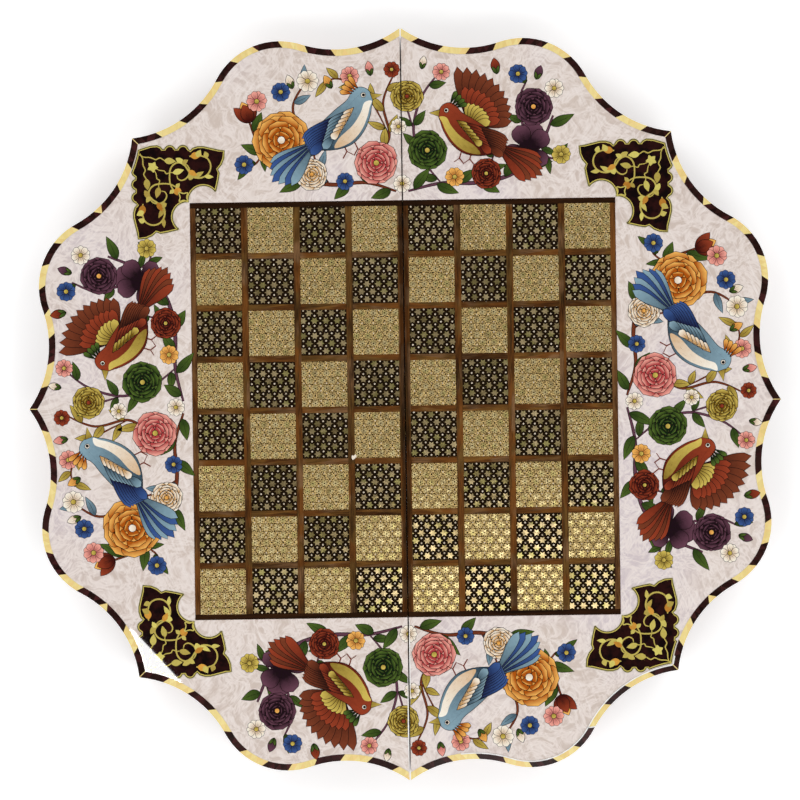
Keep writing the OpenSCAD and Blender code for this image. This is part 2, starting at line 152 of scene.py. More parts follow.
class Wire:
    """One socket of a material, on which plain sums add their Math nodes."""

    def __init__(self, socket):
        self.socket = socket

    def sum(self, operation, first, second):
        tree = self.socket.id_data
        return add_node(tree, "ShaderNodeMath", {"operation": operation}, {0: first, 1: second})

    def __add__(self, other):
        return self.sum("ADD", self, other)

    __radd__ = __add__

    def __sub__(self, other):
        return self.sum("SUBTRACT", self, other)

    def __rsub__(self, other):
        return self.sum("SUBTRACT", other, self)

    def __mul__(self, other):
        return self.sum("MULTIPLY", self, other)

    __rmul__ = __mul__

    def __abs__(self):
        return self.sum("ABSOLUTE", self, 0)

    def power(self, exponent):
        return self.sum("POWER", self, exponent)

    def fraction(self):
        return self.sum("FRACT", self, 0)


# %% [markdown]
# A Finish is one material. It starts with the values that are the same all over the surface, set on
# the shader's own sockets, and what changes over the surface is wired in afterwards. Nearly all of
# the board lies under clear lacquer, which is the shader's coat: smooth, with the colour below it.


# %% Finishes
def srgb(red, green, blue):
    """A colour as a paint chart gives it, from 0 to 255, in the shader's linear values."""
    channels = (red / 255, green / 255, blue / 255)
    return tuple(((c + 0.055) / 1.055) ** 2.4 if c > 0.04 else c / 12.92 for c in channels)


EDGE_ROUND = 1.1 * MM
SHUFFLE = 37
LACQUER = {"Coat Weight": 1.0, "Coat Roughness": 0.015, "Coat IOR": 1.5, "Specular IOR Level": 0.0}


class Finish:
    """A material, with short ways to add what varies over its surface."""

    def __init__(self, name, **values):
        self.material = bpy.data.materials.new(name)
        self.material.use_nodes = True
        self.tree = self.material.node_tree
        self.shader = self.tree.nodes["Principled BSDF"]
        for socket, value in values.items():
            self.shader.inputs[socket.replace("_", " ")].default_value = value

    def node(self, kind, settings=None, sockets=None, output=0):
        return add_node(self.tree, kind, settings, sockets, output)

    def feed(self, socket, wire):
        self.tree.links.new(wire.socket, self.shader.inputs[socket])

    def place(self, scale=(1, 1, 1), turn=0):
        """The place on the object, in metres, stretched and turned about Z."""
        here = self.node("ShaderNodeTexCoord", output=3)
        sockets = {"Vector": here, "Scale": scale, "Rotation": (0, 0, turn)}
        return self.node("ShaderNodeMapping", {"vector_type": "POINT"}, sockets)

    def axis(self, vector, index):
        return self.node("ShaderNodeSeparateXYZ", None, {"Vector": vector}, index)

    def stretch(self, vector, by):
        return self.node("ShaderNodeVectorMath", {"operation": "MULTIPLY"}, {0: vector, 1: by})

    def wear_and_shade(self, mask, colour):
        """Multiplies the colour that is there by another, where a mask says so: for wear, and for painted
        shade.
        """
        below = Wire(self.shader.inputs["Base Color"].links[0].from_socket)
        self.feed("Base Color", self.mix(mask, below, colour, "MULTIPLY"))

    def noise(self, vector, scale, detail=3, roughness=0.5, distortion=0, output=0):
        sockets = {"Vector": vector, "Scale": scale, "Detail": detail}
        sockets |= {"Roughness": roughness, "Distortion": distortion}
        return self.node("ShaderNodeTexNoise", None, sockets, output)

    def range(self, wire, low, high, to_low=0, to_high=1):
        sockets = {"Value": wire, "From Min": low, "From Max": high, "To Min": to_low, "To Max": to_high}
        return self.node("ShaderNodeMapRange", {"interpolation_type": "SMOOTHSTEP"}, sockets)

    def mix(self, factor, first, second, blend="MIX"):
        first, second = ((*c, 1) if isinstance(c, tuple) else c for c in (first, second))
        settings = {"data_type": "RGBA", "blend_type": blend}
        return self.node("ShaderNodeMix", settings, {0: factor, 6: first, 7: second}, 2)

    def bump(self, height, distance, strength=1.0):
        """Relief under or over the lacquer, on edges that are rubbed round."""
        rubbed = self.node("ShaderNodeBevel", {"samples": 6}, {"Radius": EDGE_ROUND})
        sockets = {"Height": height, "Distance": distance, "Strength": strength, "Normal": rubbed}
        self.feed("Normal", self.node("ShaderNodeBump", None, sockets))

    def tilt(self, height):
        """Shades the flat surface like a hill of this height, in metres."""
        sockets = {"Height": height, "Distance": 1.0, "Strength": 1.0}
        self.feed("Normal", self.node("ShaderNodeBump", None, sockets))

    def lean(self, lean, varied):
        """Leans the surface by a slope along X and Y, and each piece by a little more or less."""
        here = self.place()
        number = self.piece_number()
        # A second number for each piece, which has nothing to do with the first
        other = (number * SHUFFLE).fraction()
        slopes = [(n - 0.5) * (2 * varied) + slope for n, slope in zip((number, other), lean)]
        self.tilt(self.axis(here, 0) * slopes[0] + self.axis(here, 1) * slopes[1])

    def slope_outward(self, slope):
        """Turns the surface a little away from the board's middle, as on a rubbed-down rim."""
        here = self.place()
        reach = (self.axis(here, 0).power(2) + self.axis(here, 1).power(2)).power(0.5)
        self.tilt(reach * -slope)

    def piece_number(self):
        """A number from 0 to 1 that differs from each separate piece to the next."""
        return self.node("ShaderNodeNewGeometry", output="Random Per Island")


def dress(finish, *nodes):
    """Gives CAD nodes their finish. A name without its side stands for both halves."""
    for name in nodes:
        for node in [name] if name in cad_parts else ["left_" + name, "right_" + name]:
            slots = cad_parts[node].data.materials
            slots.clear()
            slots.append(finish.material)
    print(finish.material.name, "on", ", ".join(nodes))


# %% [markdown]
# The ground of the face is pearl paint, brushed on in short curling strokes while it was wet. The
# strokes are ridges of a noise whose place is itself bent by a slower noise, which makes the curls.
# They show as a little more or less light, never as lines of another colour. Fine hair marks of the
# dry brush cross them, one way here and another way there.


# %% Pearl ground
CURL = (0.07, 0.07, 0.07)
BRUSH_RELIEF = 0.04 * MM


def pearl_finish(name, dull=0):
    """The brushed pearl paint, which is darker by a number of steps where it is dull."""

    def shade(*channels):
        return srgb(*(c - dull for c in channels))

    pearl = Finish(name, Roughness=0.45, **LACQUER)
    here = pearl.place()
    bend = pearl.noise(here, 30, detail=2, output=1)
    bent = pearl.node("ShaderNodeVectorMath", {"operation": "MULTIPLY_ADD"}, {0: bend, 1: CURL, 2: here})
    ridge = 1 - abs(pearl.noise(bent, 88, detail=2, roughness=0.6) * 2 - 1) * 2.8
    fine = 1 - abs(pearl.noise(bent, 300, detail=2, roughness=0.5) * 2 - 1) * 2.6
    strokes = pearl.range(ridge * 0.6 + fine * 0.4, 0.2, 1.0)
    one_way = pearl.noise(pearl.stretch(pearl.place(turn=0.7), (1, 0.1, 1)), 700, detail=2)
    other_way = pearl.noise(pearl.stretch(pearl.place(turn=-0.4), (1, 0.1, 1)), 700, detail=2)
    way = pearl.range(pearl.noise(here, 18, detail=1), 0.42, 0.58)
    hairs = pearl.range(one_way * way + other_way * (1 - way), 0.5, 0.7)
    cloud = pearl.noise(here, 14, detail=2)
    cool = pearl.range(pearl.noise(here, 9, detail=2), 0.5, 0.68)
    body = pearl.mix(cloud, shade(202, 185, 176), shade(218, 203, 191))
    body = pearl.mix(cool, body, shade(210, 197, 199))
    brushed = pearl.mix(strokes * 0.8, body, shade(240, 229, 223))
    pearl.feed("Base Color", pearl.mix(hairs * 0.35, brushed, shade(248, 240, 236)))
    pearl.bump(strokes + hairs, BRUSH_RELIEF, 0.4)
    return pearl


dress(pearl_finish("pearl_ground"), "face_ground")
dress(pearl_finish("pearl_margin", 10), "well_margin")

# %% [markdown]
# The strips, borders, blocks and walls are woods. A grain is a noise that is stretched along the
# length of the piece, so each wood says which way it runs: on the curved walls along both X and Y,
# which leaves level lines. Neighbouring pieces come from other planks, so each piece gets its own
# tone, and red or olive patches.


# %% Woods
GRAIN_LENGTH = 12
GRAIN_RELIEF = 0.03 * MM


def wood_finish(name, dark, light, grain, others=(), varied=0.5, contrast=1.0, fineness=1.0, **gloss):
    """Wood whose grain runs along the named axes, and the other colours that its light tone turns to."""
    wood = Finish(name, **{"Roughness": 0.5, **LACQUER, **gloss})
    here = wood.place(tuple(1 / GRAIN_LENGTH if axis in grain else 1 for axis in "XYZ"))
    fibres = wood.noise(here, 1500 * fineness, detail=4, roughness=0.6)
    bands = wood.noise(here, 260 * fineness, detail=2, distortion=0.6)
    drift = wood.noise(wood.place(), 24, detail=2)
    reach = 0.24 / contrast
    tone = wood.range(fibres * 0.4 + bands * 0.35 + drift * 0.25, 0.5 - reach, 0.5 + reach)
    plank = wood.piece_number()
    tone = tone * (1 - varied) + plank * varied
    light = srgb(*light)
    for i, other in enumerate(others):
        patch = plank * (5 + 6 * i) + wood.noise(wood.place(), 19 + 8 * i, detail=1) * 2.4
        light = wood.mix(wood.range(abs(patch.fraction() - 0.5), 0.22, 0.4), light, srgb(*other))
    wood.feed("Base Color", wood.mix(tone, srgb(*dark), light))
    wood.bump(fibres, GRAIN_RELIEF, 0.25)
    return wood


EBONISED = (24, 12, 10)
STRIP_COLOURS = ((112, 80, 38), (134, 98, 64), (118, 72, 30))
walnut_long = wood_finish("walnut_long", (32, 18, 8), (104, 72, 34), "Y", STRIP_COLOURS, 0.25, 1.9)
walnut_cross = wood_finish("walnut_cross", (46, 26, 10), (134, 92, 42), "X", STRIP_COLOURS, 0.35, 1.9)
walnut_side = wood_finish("walnut_side", (48, 26, 12), (124, 86, 50), "Y", STRIP_COLOURS[2:], 0.15, 1.9)
walnut_end = wood_finish("walnut_end", (20, 10, 4), (54, 30, 12), "X", varied=0.2, contrast=1.4)
dress(walnut_long, "long_strips")
dress(walnut_cross, "cross_strips")
dress(walnut_side, "side_border")
dress(walnut_end, "end_borders")
dress(wood_finish("panel_wood", (150, 108, 66), (196, 156, 108), "Y", varied=0.1), "core_panel")
dress(
    wood_finish("well_ground", (150, 104, 58), (206, 166, 110), "Y", varied=0.1, contrast=1.5), "well_ground"
)
dress(wood_finish("well_frame", (50, 26, 16), (104, 60, 32), "Y", varied=0.2), "well_frame")
dress(wood_finish("dark_points", EBONISED, (84, 44, 30), "X"), "dark_points")
dress(wood_finish("light_points", (214, 180, 112), (240, 216, 156), "X"), "light_points")

# %% [markdown]
# Use leaves its marks, and some shade is painted in. The strips beside the seam are painted darker,
# as painted shade from the gap between the halves. The rim's blocks were rubbed down toward the edge,
# which turns their gloss outward. The walls are nicked along their lower edge, where fingers and the
# table wear them.

# %% Worn woods and painted shade by the seam
SEAM_PAINTED_SHADE = (0.42, 0.4, 0.4)
PAINTED_SHADE_FULL = 2 * MM
PAINTED_SHADE_END = 4 * MM
RUBBED = {"Coat Weight": 0.0, "Specular IOR Level": 0.12, "Roughness": 0.12}
RIM_SLOPE = 0.06
WORN_EDGE = 2.2 * MM
WORN_PALE = (1.9, 1.7, 1.5)
# Painted shade: the long strips get darker toward the seam, where the gap between the halves shades them
beside_seam = abs(walnut_long.axis(walnut_long.place(), 0))
walnut_long.wear_and_shade(1 - walnut_long.range(beside_seam, PAINTED_SHADE_FULL, PAINTED_SHADE_END), SEAM_PAINTED_SHADE)
rim_dark = wood_finish("rim_dark", EBONISED, (54, 32, 28), "X", ((76, 38, 38),), 0.7, **RUBBED)
rim_light = wood_finish("rim_light", (226, 201, 126), (248, 230, 162), "Y", ((244, 211, 144),), 0.4, **RUBBED)
for rim in (rim_dark, rim_light):
    rim.slope_outward(RIM_SLOPE)
dress(rim_dark, "rim_dark_blocks")
dress(rim_light, "rim_light_blocks")
walnut_wall = wood_finish(
    "walnut_wall", (34, 16, 9), (134, 80, 44), "XY", varied=0.1, contrast=1.8, fineness=0.5
)
height = walnut_wall.axis(walnut_wall.place(), 2)
nicks = walnut_wall.noise(walnut_wall.place(), 160, detail=4, roughness=0.7)
rim_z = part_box("left_wall_side_back")[0].z
handled = (1 - walnut_wall.range(height, rim_z, rim_z + WORN_EDGE)) * walnut_wall.range(nicks, 0.48, 0.6)
walnut_wall.wear_and_shade(handled, WORN_PALE)
dress(walnut_wall, "wall_seam_back", "wall_side_back", "wall_side_front", "wall_seam_front", "hinge_rail")

# %% [markdown]
# Under the stars of the marquetry lies the ground of each square: ebony for the dark squares, and
# for the light ones a mosaic of tan and gold sticks, which the saw has left leaning a little to the
# front. The ornaments have a maroon-black lacquer.


# %% Grounds of the squares and the ornaments
def ground_finish(name, dark, light, scale, **more):
    ground = Finish(name, Roughness=0.5, **{**LACQUER, **more})
    mottle = ground.noise(ground.place(), scale, detail=3, roughness=0.7)
    tone = ground.range(mottle, 0.35, 0.65)
    ground.feed("Base Color", ground.mix(tone, srgb(*dark), srgb(*light)))
    return ground


SAW_LEAN = (-0.02, 0.122)
SAW_VARIED = 0.012
dress(ground_finish("ebony_ground", (18, 10, 2), (36, 22, 6), 900), "dark_tiles")
mosaic = ground_finish("gold_mosaic", (84, 62, 30), (234, 202, 134), 1500, Metallic=0.25)
mosaic.lean(SAW_LEAN, SAW_VARIED)
dress(mosaic, "light_tiles")
dress(ground_finish("ornament_lacquer", (14, 6, 6), (42, 16, 14), 120), "corner_ornaments")


# %% [markdown]
# Brass, steel and felt are under the board. The brass leaves were brushed along the seam, the
# magnets are nickel plated, and the felt has short fibres that scatter the light.


# %% Metals and felt
TARNISHED = 0.62
SCRATCH_RELIEF = 0.02 * MM
FIBRE_RELIEF = 0.2 * MM


def metal_finish(name, colour, roughness, scratch):
    """Brushed metal. Its colour is in linear values, as tables of metals give it."""
    metal = Finish(name, Metallic=1.0, Roughness=roughness)
    lines = metal.noise(metal.place((1, 0.06, 1)), scratch, detail=4, roughness=0.7)
    tarnish = metal.noise(metal.place(), 220, detail=3)
    dulled = tuple(TARNISHED * c for c in colour)
    metal.feed("Base Color", metal.mix(metal.range(tarnish, 0.4, 0.75), colour, dulled))
    metal.feed("Roughness", metal.range(lines, 0.3, 0.7, roughness - 0.08, roughness + 0.12))
    metal.bump(lines, SCRATCH_RELIEF, 0.4)
    return metal


dress(metal_finish("hinge_brass", (0.80, 0.58, 0.26), 0.28, 3000), "hinge_leaves")
dress(metal_finish("screw_brass", (0.74, 0.52, 0.22), 0.24, 5000), "hinge_screws", "hinge_pins")
dress(metal_finish("magnet_nickel", (0.72, 0.71, 0.69), 0.22, 4000), "magnets")
felt = Finish("felt", Roughness=0.95, Sheen_Weight=0.6, Sheen_Roughness=0.5)
fuzz = felt.noise(felt.place(), 4200, detail=4, roughness=0.7)
felt.feed("Base Color", felt.mix(fuzz, srgb(14, 34, 20), srgb(44, 78, 50)))
felt.bump(fuzz, FIBRE_RELIEF, 0.8)


# %% [markdown]
# Stars, gilding and paint lie flat in the face. An Inlay gathers all flat pieces of one finish into
# one mesh for each half, so that the halves can fold apart: a piece that crosses the seam is cut
# there. Each corner carries a tone from 0 to 1, which the finish reads as darker or lighter.


# %% Flat inlays
FILM = 0.004 * MM
DRIFT = 130
inlays = []


def trim(corners, normal, distance):
    """The part of a flat convex piece that lies beyond a line."""
    kept = []
    for i, here in enumerate(corners):
        before = corners[i - 1]
        inside = normal[0] * here[0] + normal[1] * here[1] - distance
        was = normal[0] * before[0] + normal[1] * before[1] - distance
        if inside * was < 0:
            share = was / (was - inside)
            kept.append(tuple(a + share * (b - a) for a, b in zip(before, here)))
        if inside >= 0:
            kept.append(here)
    return kept


def add_mesh(name, points, faces, finish):
    """Puts a new mesh of one finish into the scene."""
    mesh = bpy.data.meshes.new(name)
    mesh.from_pydata(points, [], faces)
    mesh.materials.append(finish.material)
    return add_object(name, mesh)


class Inlay:
    """Flat pieces of one finish, gathered into one mesh for each half."""

    def __init__(self, name, finish, slot):
        self.name = name
        self.finish = finish
        self.slot = slot
        self.halves = {"left": ([], [], []), "right": ([], [], [])}
        inlays.append(self)

    def lay(self, corners, height, facing=1):
        """Lays one convex piece, whose corners are (x, y, tone). It faces up, or down with -1."""
        area = sum(a[0] * b[1] - b[0] * a[1] for a, b in zip([corners[-1], *corners], corners))
        corners = corners[::-1] if area * facing < 0 else corners
        for half, sign in (("left", -1), ("right", 1)):
            kept = trim(corners, (sign, 0), half_x)
            if len(kept) > 2:
                points, faces, tones = self.halves[half]
                faces.append(range(len(points), len(points) + len(kept)))
                points += [(x, y, height) for x, y, tone in kept]
                tones += [tone for x, y, tone in kept]

    def lay_all(self, pieces, tone, height):
        """Lays pieces that are all of one tone, so that their corners are only (x, y)."""
        for piece in pieces:
            self.lay([(x, y, tone) for x, y in piece], height)

    def finished(self):
        """Makes the two meshes, each riding on its half."""
        for half, (points, faces, tones) in self.halves.items():
            if faces:
                piece = add_mesh(half + "_" + self.name, points, faces, self.finish)
                piece.data.attributes.new("tone", "FLOAT", "POINT").data.foreach_set("value", tones)
                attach(piece, half + "_half")
        print(self.name, sum(len(faces) for points, faces, tones in self.halves.values()), "pieces")


def toned_finish(name, dark, light, scale=700, grain=0.25, other=None, **more):
    """A finish that runs from dark to light with a piece's tone, and may drift to another colour."""
    toned = Finish(name, **{"Roughness": 0.5, **LACQUER, **more})
    tone = toned.node("ShaderNodeAttribute", {"attribute_name": "tone"}, output="Fac")
    speckle = toned.noise(toned.place(), scale, detail=3, roughness=0.6)
    light = srgb(*light)
    if other:
        drift = toned.range(toned.noise(toned.place(), DRIFT, detail=2), 0.45, 0.62)
        light = toned.mix(drift, light, srgb(*other))
    toned.feed("Base Color", toned.mix(tone + (speckle - 0.5) * grain, srgb(*dark), light))
    return toned


# %% [markdown]
# The squares are khatam, a traditional marquetry: sticks of brass, bone and dyed wood are glued
# into a long block with stars on its end, which is sawn into thin sheets. The saw leaves the brass
# leaning a few degrees to the front, each stick a little otherwise, so that below the flat lacquer
# whole stars flash where they face a light.

# %% Sticks of the marquetry
star_brass = toned_finish(
    "star_brass", (126, 107, 66), (242, 217, 164), 1200, 0.5, (198, 188, 116), Metallic=0.6, Roughness=0.12
)
star_gold = toned_finish(
    "star_gold", (138, 110, 60), (243, 221, 162), 1700, 0.9, (219, 201, 128), Metallic=0.5, Roughness=0.16
)
for brass in (star_brass, star_gold):
    brass.lean(SAW_LEAN, SAW_VARIED)
bone = toned_finish("bone", (120, 96, 52), (238, 226, 208))
ebony_stick = toned_finish("ebony_stick", (22, 18, 8), (104, 84, 40))
dark_stars = Inlay("dark_tile_stars", star_brass, "dark_marquetry")
light_stars = Inlay("light_tile_stars", star_gold, "light_marquetry")
bone_dots = Inlay("bone_dots", bone, "light_marquetry")
ebony_specks = Inlay("ebony_specks", ebony_stick, "dark_marquetry")
print("sticks for", ", ".join(inlay.name for inlay in inlays))

# %% [markdown]
# The stars stand in rows, each row half a step from the next, and a bone dot lies in each triangle
# between three of them. Each star is laid from six kites of slightly different tone, as its sticks
# are. The light squares also have dark sticks: small ones in the notches of the stars and round the
# bone dots, and larger ones in the stars' hearts and halfway between neighbours.

# %% Star pattern
random.seed(7)
STARS_ACROSS = 4
STAR_ROWS = 6
NOTCH = 0.56
STAR_FLATNESS = 0.93
NOTCH_R = 0.34 * MM
NOTCH_GAP = 0.12 * MM
HEART_R = 0.504 * MM
MIDDLE_R = 0.56 * MM
SPECK_R = 0.42 * MM
SPECK_REACH = 1.2 * MM
SPECK_STRAY = 14


def within(corners, low, high):
    """The part of a flat piece inside an upright rectangle."""
    for normal, distance in (((1, 0), low[0]), ((-1, 0), -high[0]), ((0, 1), low[1]), ((0, -1), -high[1])):
        corners = trim(corners, normal, distance) if corners else corners
    return corners


def out_from(base, angle, along, left=0.0):
    """The place that lies so far along a direction from a base, and so far to its left."""
    cos, sin = math.cos(angle), math.sin(angle)
    return (base[0] + along * cos - left * sin, base[1] + along * sin + left * cos)


def disc(x, y, radius, tone, sides=10):
    turns = [2 * math.pi * (i + 0.5) / sides for i in range(sides)]
    return [(*out_from((x, y), a, radius), tone) for a in turns]


def star_kites(x, y, radius, notch, tone, varied):
    """The six kites of a star with a point to each side, slightly flattened."""
    for k in range(6):
        a = math.radians(60 * k)
        rim = [(notch, a - math.pi / 6), (radius, a), (notch, a + math.pi / 6)]
        shade = tone + random.uniform(-varied, varied)
        corners = [(x + r * math.cos(t), y + STAR_FLATNESS * r * math.sin(t), shade) for r, t in rim]
        yield [(x, y, shade), *corners]


def sticks_in_star(x, y, across, up, star_r):
    """The dark sticks in a star's notches, in its heart and halfway to the stars behind it."""
    for k in range(6):
        notch = out_from((x, y), math.radians(60 * k + 30), star_r * NOTCH + NOTCH_GAP)
        yield disc(*notch, NOTCH_R, 0.25, 6)
    for right, back in ((0, 0), (-across / 4, up / 2), (across / 4, up / 2)):
        yield disc(x + right, y + back, HEART_R, 0.1)


def specks_round_dot(x, y, end, row_y):
    """Dark specks round a bone dot. One larger stick takes the place of the two between two dots."""
    for k in range(5):
        angle = math.radians(72 * k - 90 * end + random.uniform(-SPECK_STRAY, SPECK_STRAY))
        spot = out_from((x, y), angle, SPECK_REACH * random.uniform(0.85, 1.2))
        speck = disc(*spot, SPECK_R * random.uniform(0.7, 1.2), random.uniform(0, 0.7), 6)
        if k:
            yield speck
        elif end > 0:
            yield disc(x, row_y, MIDDLE_R, 0.1)


# %% Khatam squares
STAR_LEVEL = 1
STICK_LEVEL = 1.5
DOT_LEVEL = 2
SHIFTED_ACROSS = 0.12
SHIFTED_UP = 0.1
SQUARE_VARIED = 0.16
STAR_VARIED = 0.24
DARK_SQUARES = {
    "stars": dark_stars, "star_r": 2.66 * MM, "tone": 0.5, "moody": 1.0, "kites_varied": 0.14,
    "dot_r": 0.58 * MM, "dot_tones": (0.35, 0.8), "dark_sticks": False,
}
LIGHT_SQUARES = {
    "stars": light_stars, "star_r": 2.7 * MM, "tone": 0.76, "moody": 0.5, "kites_varied": 0.34,
    "dot_r": 0.44 * MM, "dot_tones": (0.0, 0.8), "dark_sticks": True,
}


def khatam(low, high, stars, star_r, tone, moody, kites_varied, dot_r, dot_tones, dark_sticks):
    """Covers one square with the star pattern, cut off at the square's edges."""
    across = (high[0] - low[0]) / STARS_ACROSS
    up = (high[1] - low[1]) / STAR_ROWS
    shift_x = random.uniform(-SHIFTED_ACROSS, SHIFTED_ACROSS) * across
    shift_y = random.uniform(-SHIFTED_UP, SHIFTED_UP) * up
    mood = random.uniform(-SQUARE_VARIED, SQUARE_VARIED)

    def lay(inlay, pieces, level):
        for piece in pieces:
            kept = within(piece, low, high)
            if len(kept) > 2:
                inlay.lay(kept, face_z + level * FILM)

    for row in range(-1, STAR_ROWS + 1):
        for column in range(-1, STARS_ACROSS + 1):
            x = low[0] + (column + 0.25 + 0.5 * (row % 2)) * across + shift_x
            y = low[1] + (row + 0.5) * up + shift_y
            star_tone = tone + (mood + random.uniform(-STAR_VARIED, STAR_VARIED)) * moody
            lay(stars, star_kites(x, y, star_r, star_r * NOTCH, star_tone, kites_varied), STAR_LEVEL)
            if dark_sticks:
                lay(ebony_specks, sticks_in_star(x, y, across, up, star_r), STICK_LEVEL)
            for end in (-1, 1):
                dot = (x + across / 2, y + end * up / 3)
                lay(bone_dots, [disc(*dot, dot_r, random.uniform(*dot_tones))], DOT_LEVEL)
                if dark_sticks:
                    lay(ebony_specks, specks_round_dot(*dot, end, y), STICK_LEVEL)


def squares(node):
    """The low and high corners of a node's squares."""
    across, up = spans(node, 0), spans(node, 1)
    found = set()
    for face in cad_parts[node].data.polygons:
        if face.normal.z > 0.9:
            x, y = face.center.xy
            found |= {(c, r) for c in across for r in up if c[0] < x < c[1] and r[0] < y < r[1]}
    return [((c[0], r[0]), (c[1], r[1])) for c, r in sorted(found)]


for half in HALVES:
    for tiles, kind in (("_dark_tiles", DARK_SQUARES), ("_light_tiles", LIGHT_SQUARES)):
        for low, high in squares(half + tiles):
            khatam(low, high, **kind)
print("squares of", STARS_ACROSS, "by", STAR_ROWS, "stars")

# %% [markdown]
# Vines, edge lines, leaves and petals all come from a few tools: a smooth curve through chosen
# points, a ribbon that follows a line, and a leaf, which is a line that swells and narrows again.


# %% Curves and ribbons
def blend(a, b, c, d, t):
    """A smooth curve's value at a share t of the way from b to c, which comes from a and goes to d."""
    square = 2 * a - 5 * b + 4 * c - d
    cube = 3 * b - a - 3 * c + d
    return 0.5 * (2 * b + (c - a) * t + square * t**2 + cube * t**3)


def curve_through(points, closed=False, steps=8):
    """Points along a smooth curve through a few chosen ones."""
    ends = (points[-1:], points[:2]) if closed else ([points[0]], [points[-1]])
    run = [*ends[0], *points, *ends[1]]
    found = []
    for before, start, end, after in zip(run, run[1:], run[2:], run[3:]):
        for i in range(steps):
            found.append(tuple(blend(*values, i / steps) for values in zip(before, start, end, after)))
    return found if closed else found + [tuple(points[-1])]


def ribbon(points, width, closed=False, shift=0.0, taper=0.0):
    """Four-cornered pieces along a line. A shift moves it to its left; a taper thins its ends."""
    count = len(points)
    sides = []
    for i, (x, y) in enumerate(points):
        before = points[i - 1] if i or closed else points[0]
        after = points[(i + 1) % count] if i < count - 1 or closed else points[-1]
        along = Vector((after[0] - before[0], after[1] - before[1]))
        normal = Vector((-along.y, along.x)).normalized() if along.length else Vector((0, 1))
        share = i / max(count - 1, 1)
        half = width / 2 * (1 - taper * (2 * abs(share - 0.5)) ** 2)
        sides.append([(x + normal.x * reach, y + normal.y * reach) for reach in (shift - half, shift + half)])
    pairs = zip(sides, sides[1:] + sides[:1]) if closed else zip(sides, sides[1:])
    return [[a[0], a[1], b[1], b[0]] for a, b in pairs]


def spread(outline):
    """A flat piece of any outline, as triangles."""
    triangles = tessellate_polygon([[Vector((*p, 0)) for p in outline]])
    return [[outline[i] for i in corners] for corners in triangles]


LEAF_STEPS = 9


def leaf_outline(base, angle, length, width, widest=0.42, blunt=1.0, bend=0.0):
    """A leaf, petal or feather from its base, widest at a share of its length. A low blunt rounds its tip."""
    power = math.log(0.5) / math.log(widest)
    a = math.radians(angle)
    sides = ([], [])
    for i in range(LEAF_STEPS + 1):
        t = i / LEAF_STEPS
        half = width / 2 * math.sin(math.pi * t**power) ** blunt if 0 < i < LEAF_STEPS else 0
        across = bend * length * t * t
        for side, sign in zip(sides, (1, -1)):
            side.append(out_from(base, a, t * length, across + sign * half))
    return sides[0] + sides[1][-2:0:-1]


# %% [markdown]
# The edges of a solid's top are those that only one of its upward faces has. Joined end to end they
# give its outline, which the edge lines, the points of the wells and the pads are drawn from.


# %% Outlines of a node's solids
def outer_edges(node, facing=1):
    """The edges round the top of a node's solids, or their underside with -1, solid on the left."""
    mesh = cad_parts[node].data
    key = [tuple(round(c, 6) for c in v.co.xy) for v in mesh.vertices]
    edges = {}
    for face in mesh.polygons:
        if face.normal.z * facing > 0.9:
            corners = [key[v] for v in face.vertices]
            edges |= dict.fromkeys(zip(corners, corners[1:] + corners[:1]))
    return [(a, b) for a, b in edges if (b, a) not in edges]


def outlines(node, facing=1):
    """The same edges, joined to closed lines."""
    rim = dict(outer_edges(node, facing))
    loops = []
    while rim:
        start, here = rim.popitem()
        loop = [start]
        while here != start:
            loop.append(here)
            here = rim.pop(here)
        loops.append(loop)
    return loops


# %% [markdown]
# The corner ornaments are gilt scrolls on dark lacquer, the same on either side of the diagonal.
# Their edge line follows the solid's own outline, a little inside it. The vines are smooth curves
# through a few points, in the ornament's own units: its inner corner is (0, 0), its tip is (1, 1).

# %% Gilt ornaments
gold_paint = toned_finish("gold_paint", (150, 116, 40), (222, 210, 112), 900, 0.5, Metallic=0.2)
copper_paint = toned_finish("copper_paint", (150, 84, 20), (226, 166, 70), 900, 0.5, Metallic=0.2)
pale_paint = toned_finish("pale_paint", (150, 144, 104), (206, 200, 160), 900, 0.3)
gilding = Inlay("gilding", gold_paint, "ornament_lacquer")
coppering = Inlay("coppering", copper_paint, "ornament_lacquer")
pale_edging = Inlay("pale_edging", pale_paint, "ornament_lacquer")
# Edge lines: their width, and how far inside the outline they run
EDGE_LINES = ((pale_edging, 0.34 * MM, 0.17 * MM), (gilding, 0.66 * MM, 1.15 * MM))
for half in HALVES:
    for loop in outlines(half + "_corner_ornaments"):
        for inlay, width, inset in EDGE_LINES:
            inlay.lay_all(ribbon(loop, width, True, inset), 0.7, face_z + FILM)

# Vines and stems of one arm: the points that they run through, their width and their taper
VINES = [
    ([(0.19, 0.22), (0.24, 0.29), (0.36, 0.35), (0.51, 0.36), (0.64, 0.34), (0.73, 0.27), (0.76, 0.17),
      (0.7, 0.07), (0.6, 0.0), (0.49, -0.08), (0.46, -0.2), (0.5, -0.33), (0.6, -0.41), (0.72, -0.42),
      (0.83, -0.36), (0.88, -0.24), (0.89, -0.1), (0.87, -0.02)], 0.85, 0.3),
    ([(0.76, 0.17), (0.71, 0.03), (0.6, -0.02), (0.48, 0.02), (0.42, 0.12), (0.45, 0.2), (0.52, 0.22)],
     0.7, 0.5),
    ([(0.92, 0.94), (0.87, 0.84), (0.86, 0.72), (0.82, 0.62), (0.85, 0.54), (0.8, 0.44), (0.8, 0.32)],
     0.6, 0.3),
    ([(0.68, 0.66), (0.62, 0.56), (0.6, 0.46), (0.55, 0.42), (0.57, 0.34), (0.56, 0.24)], 0.55, 0.4),
]
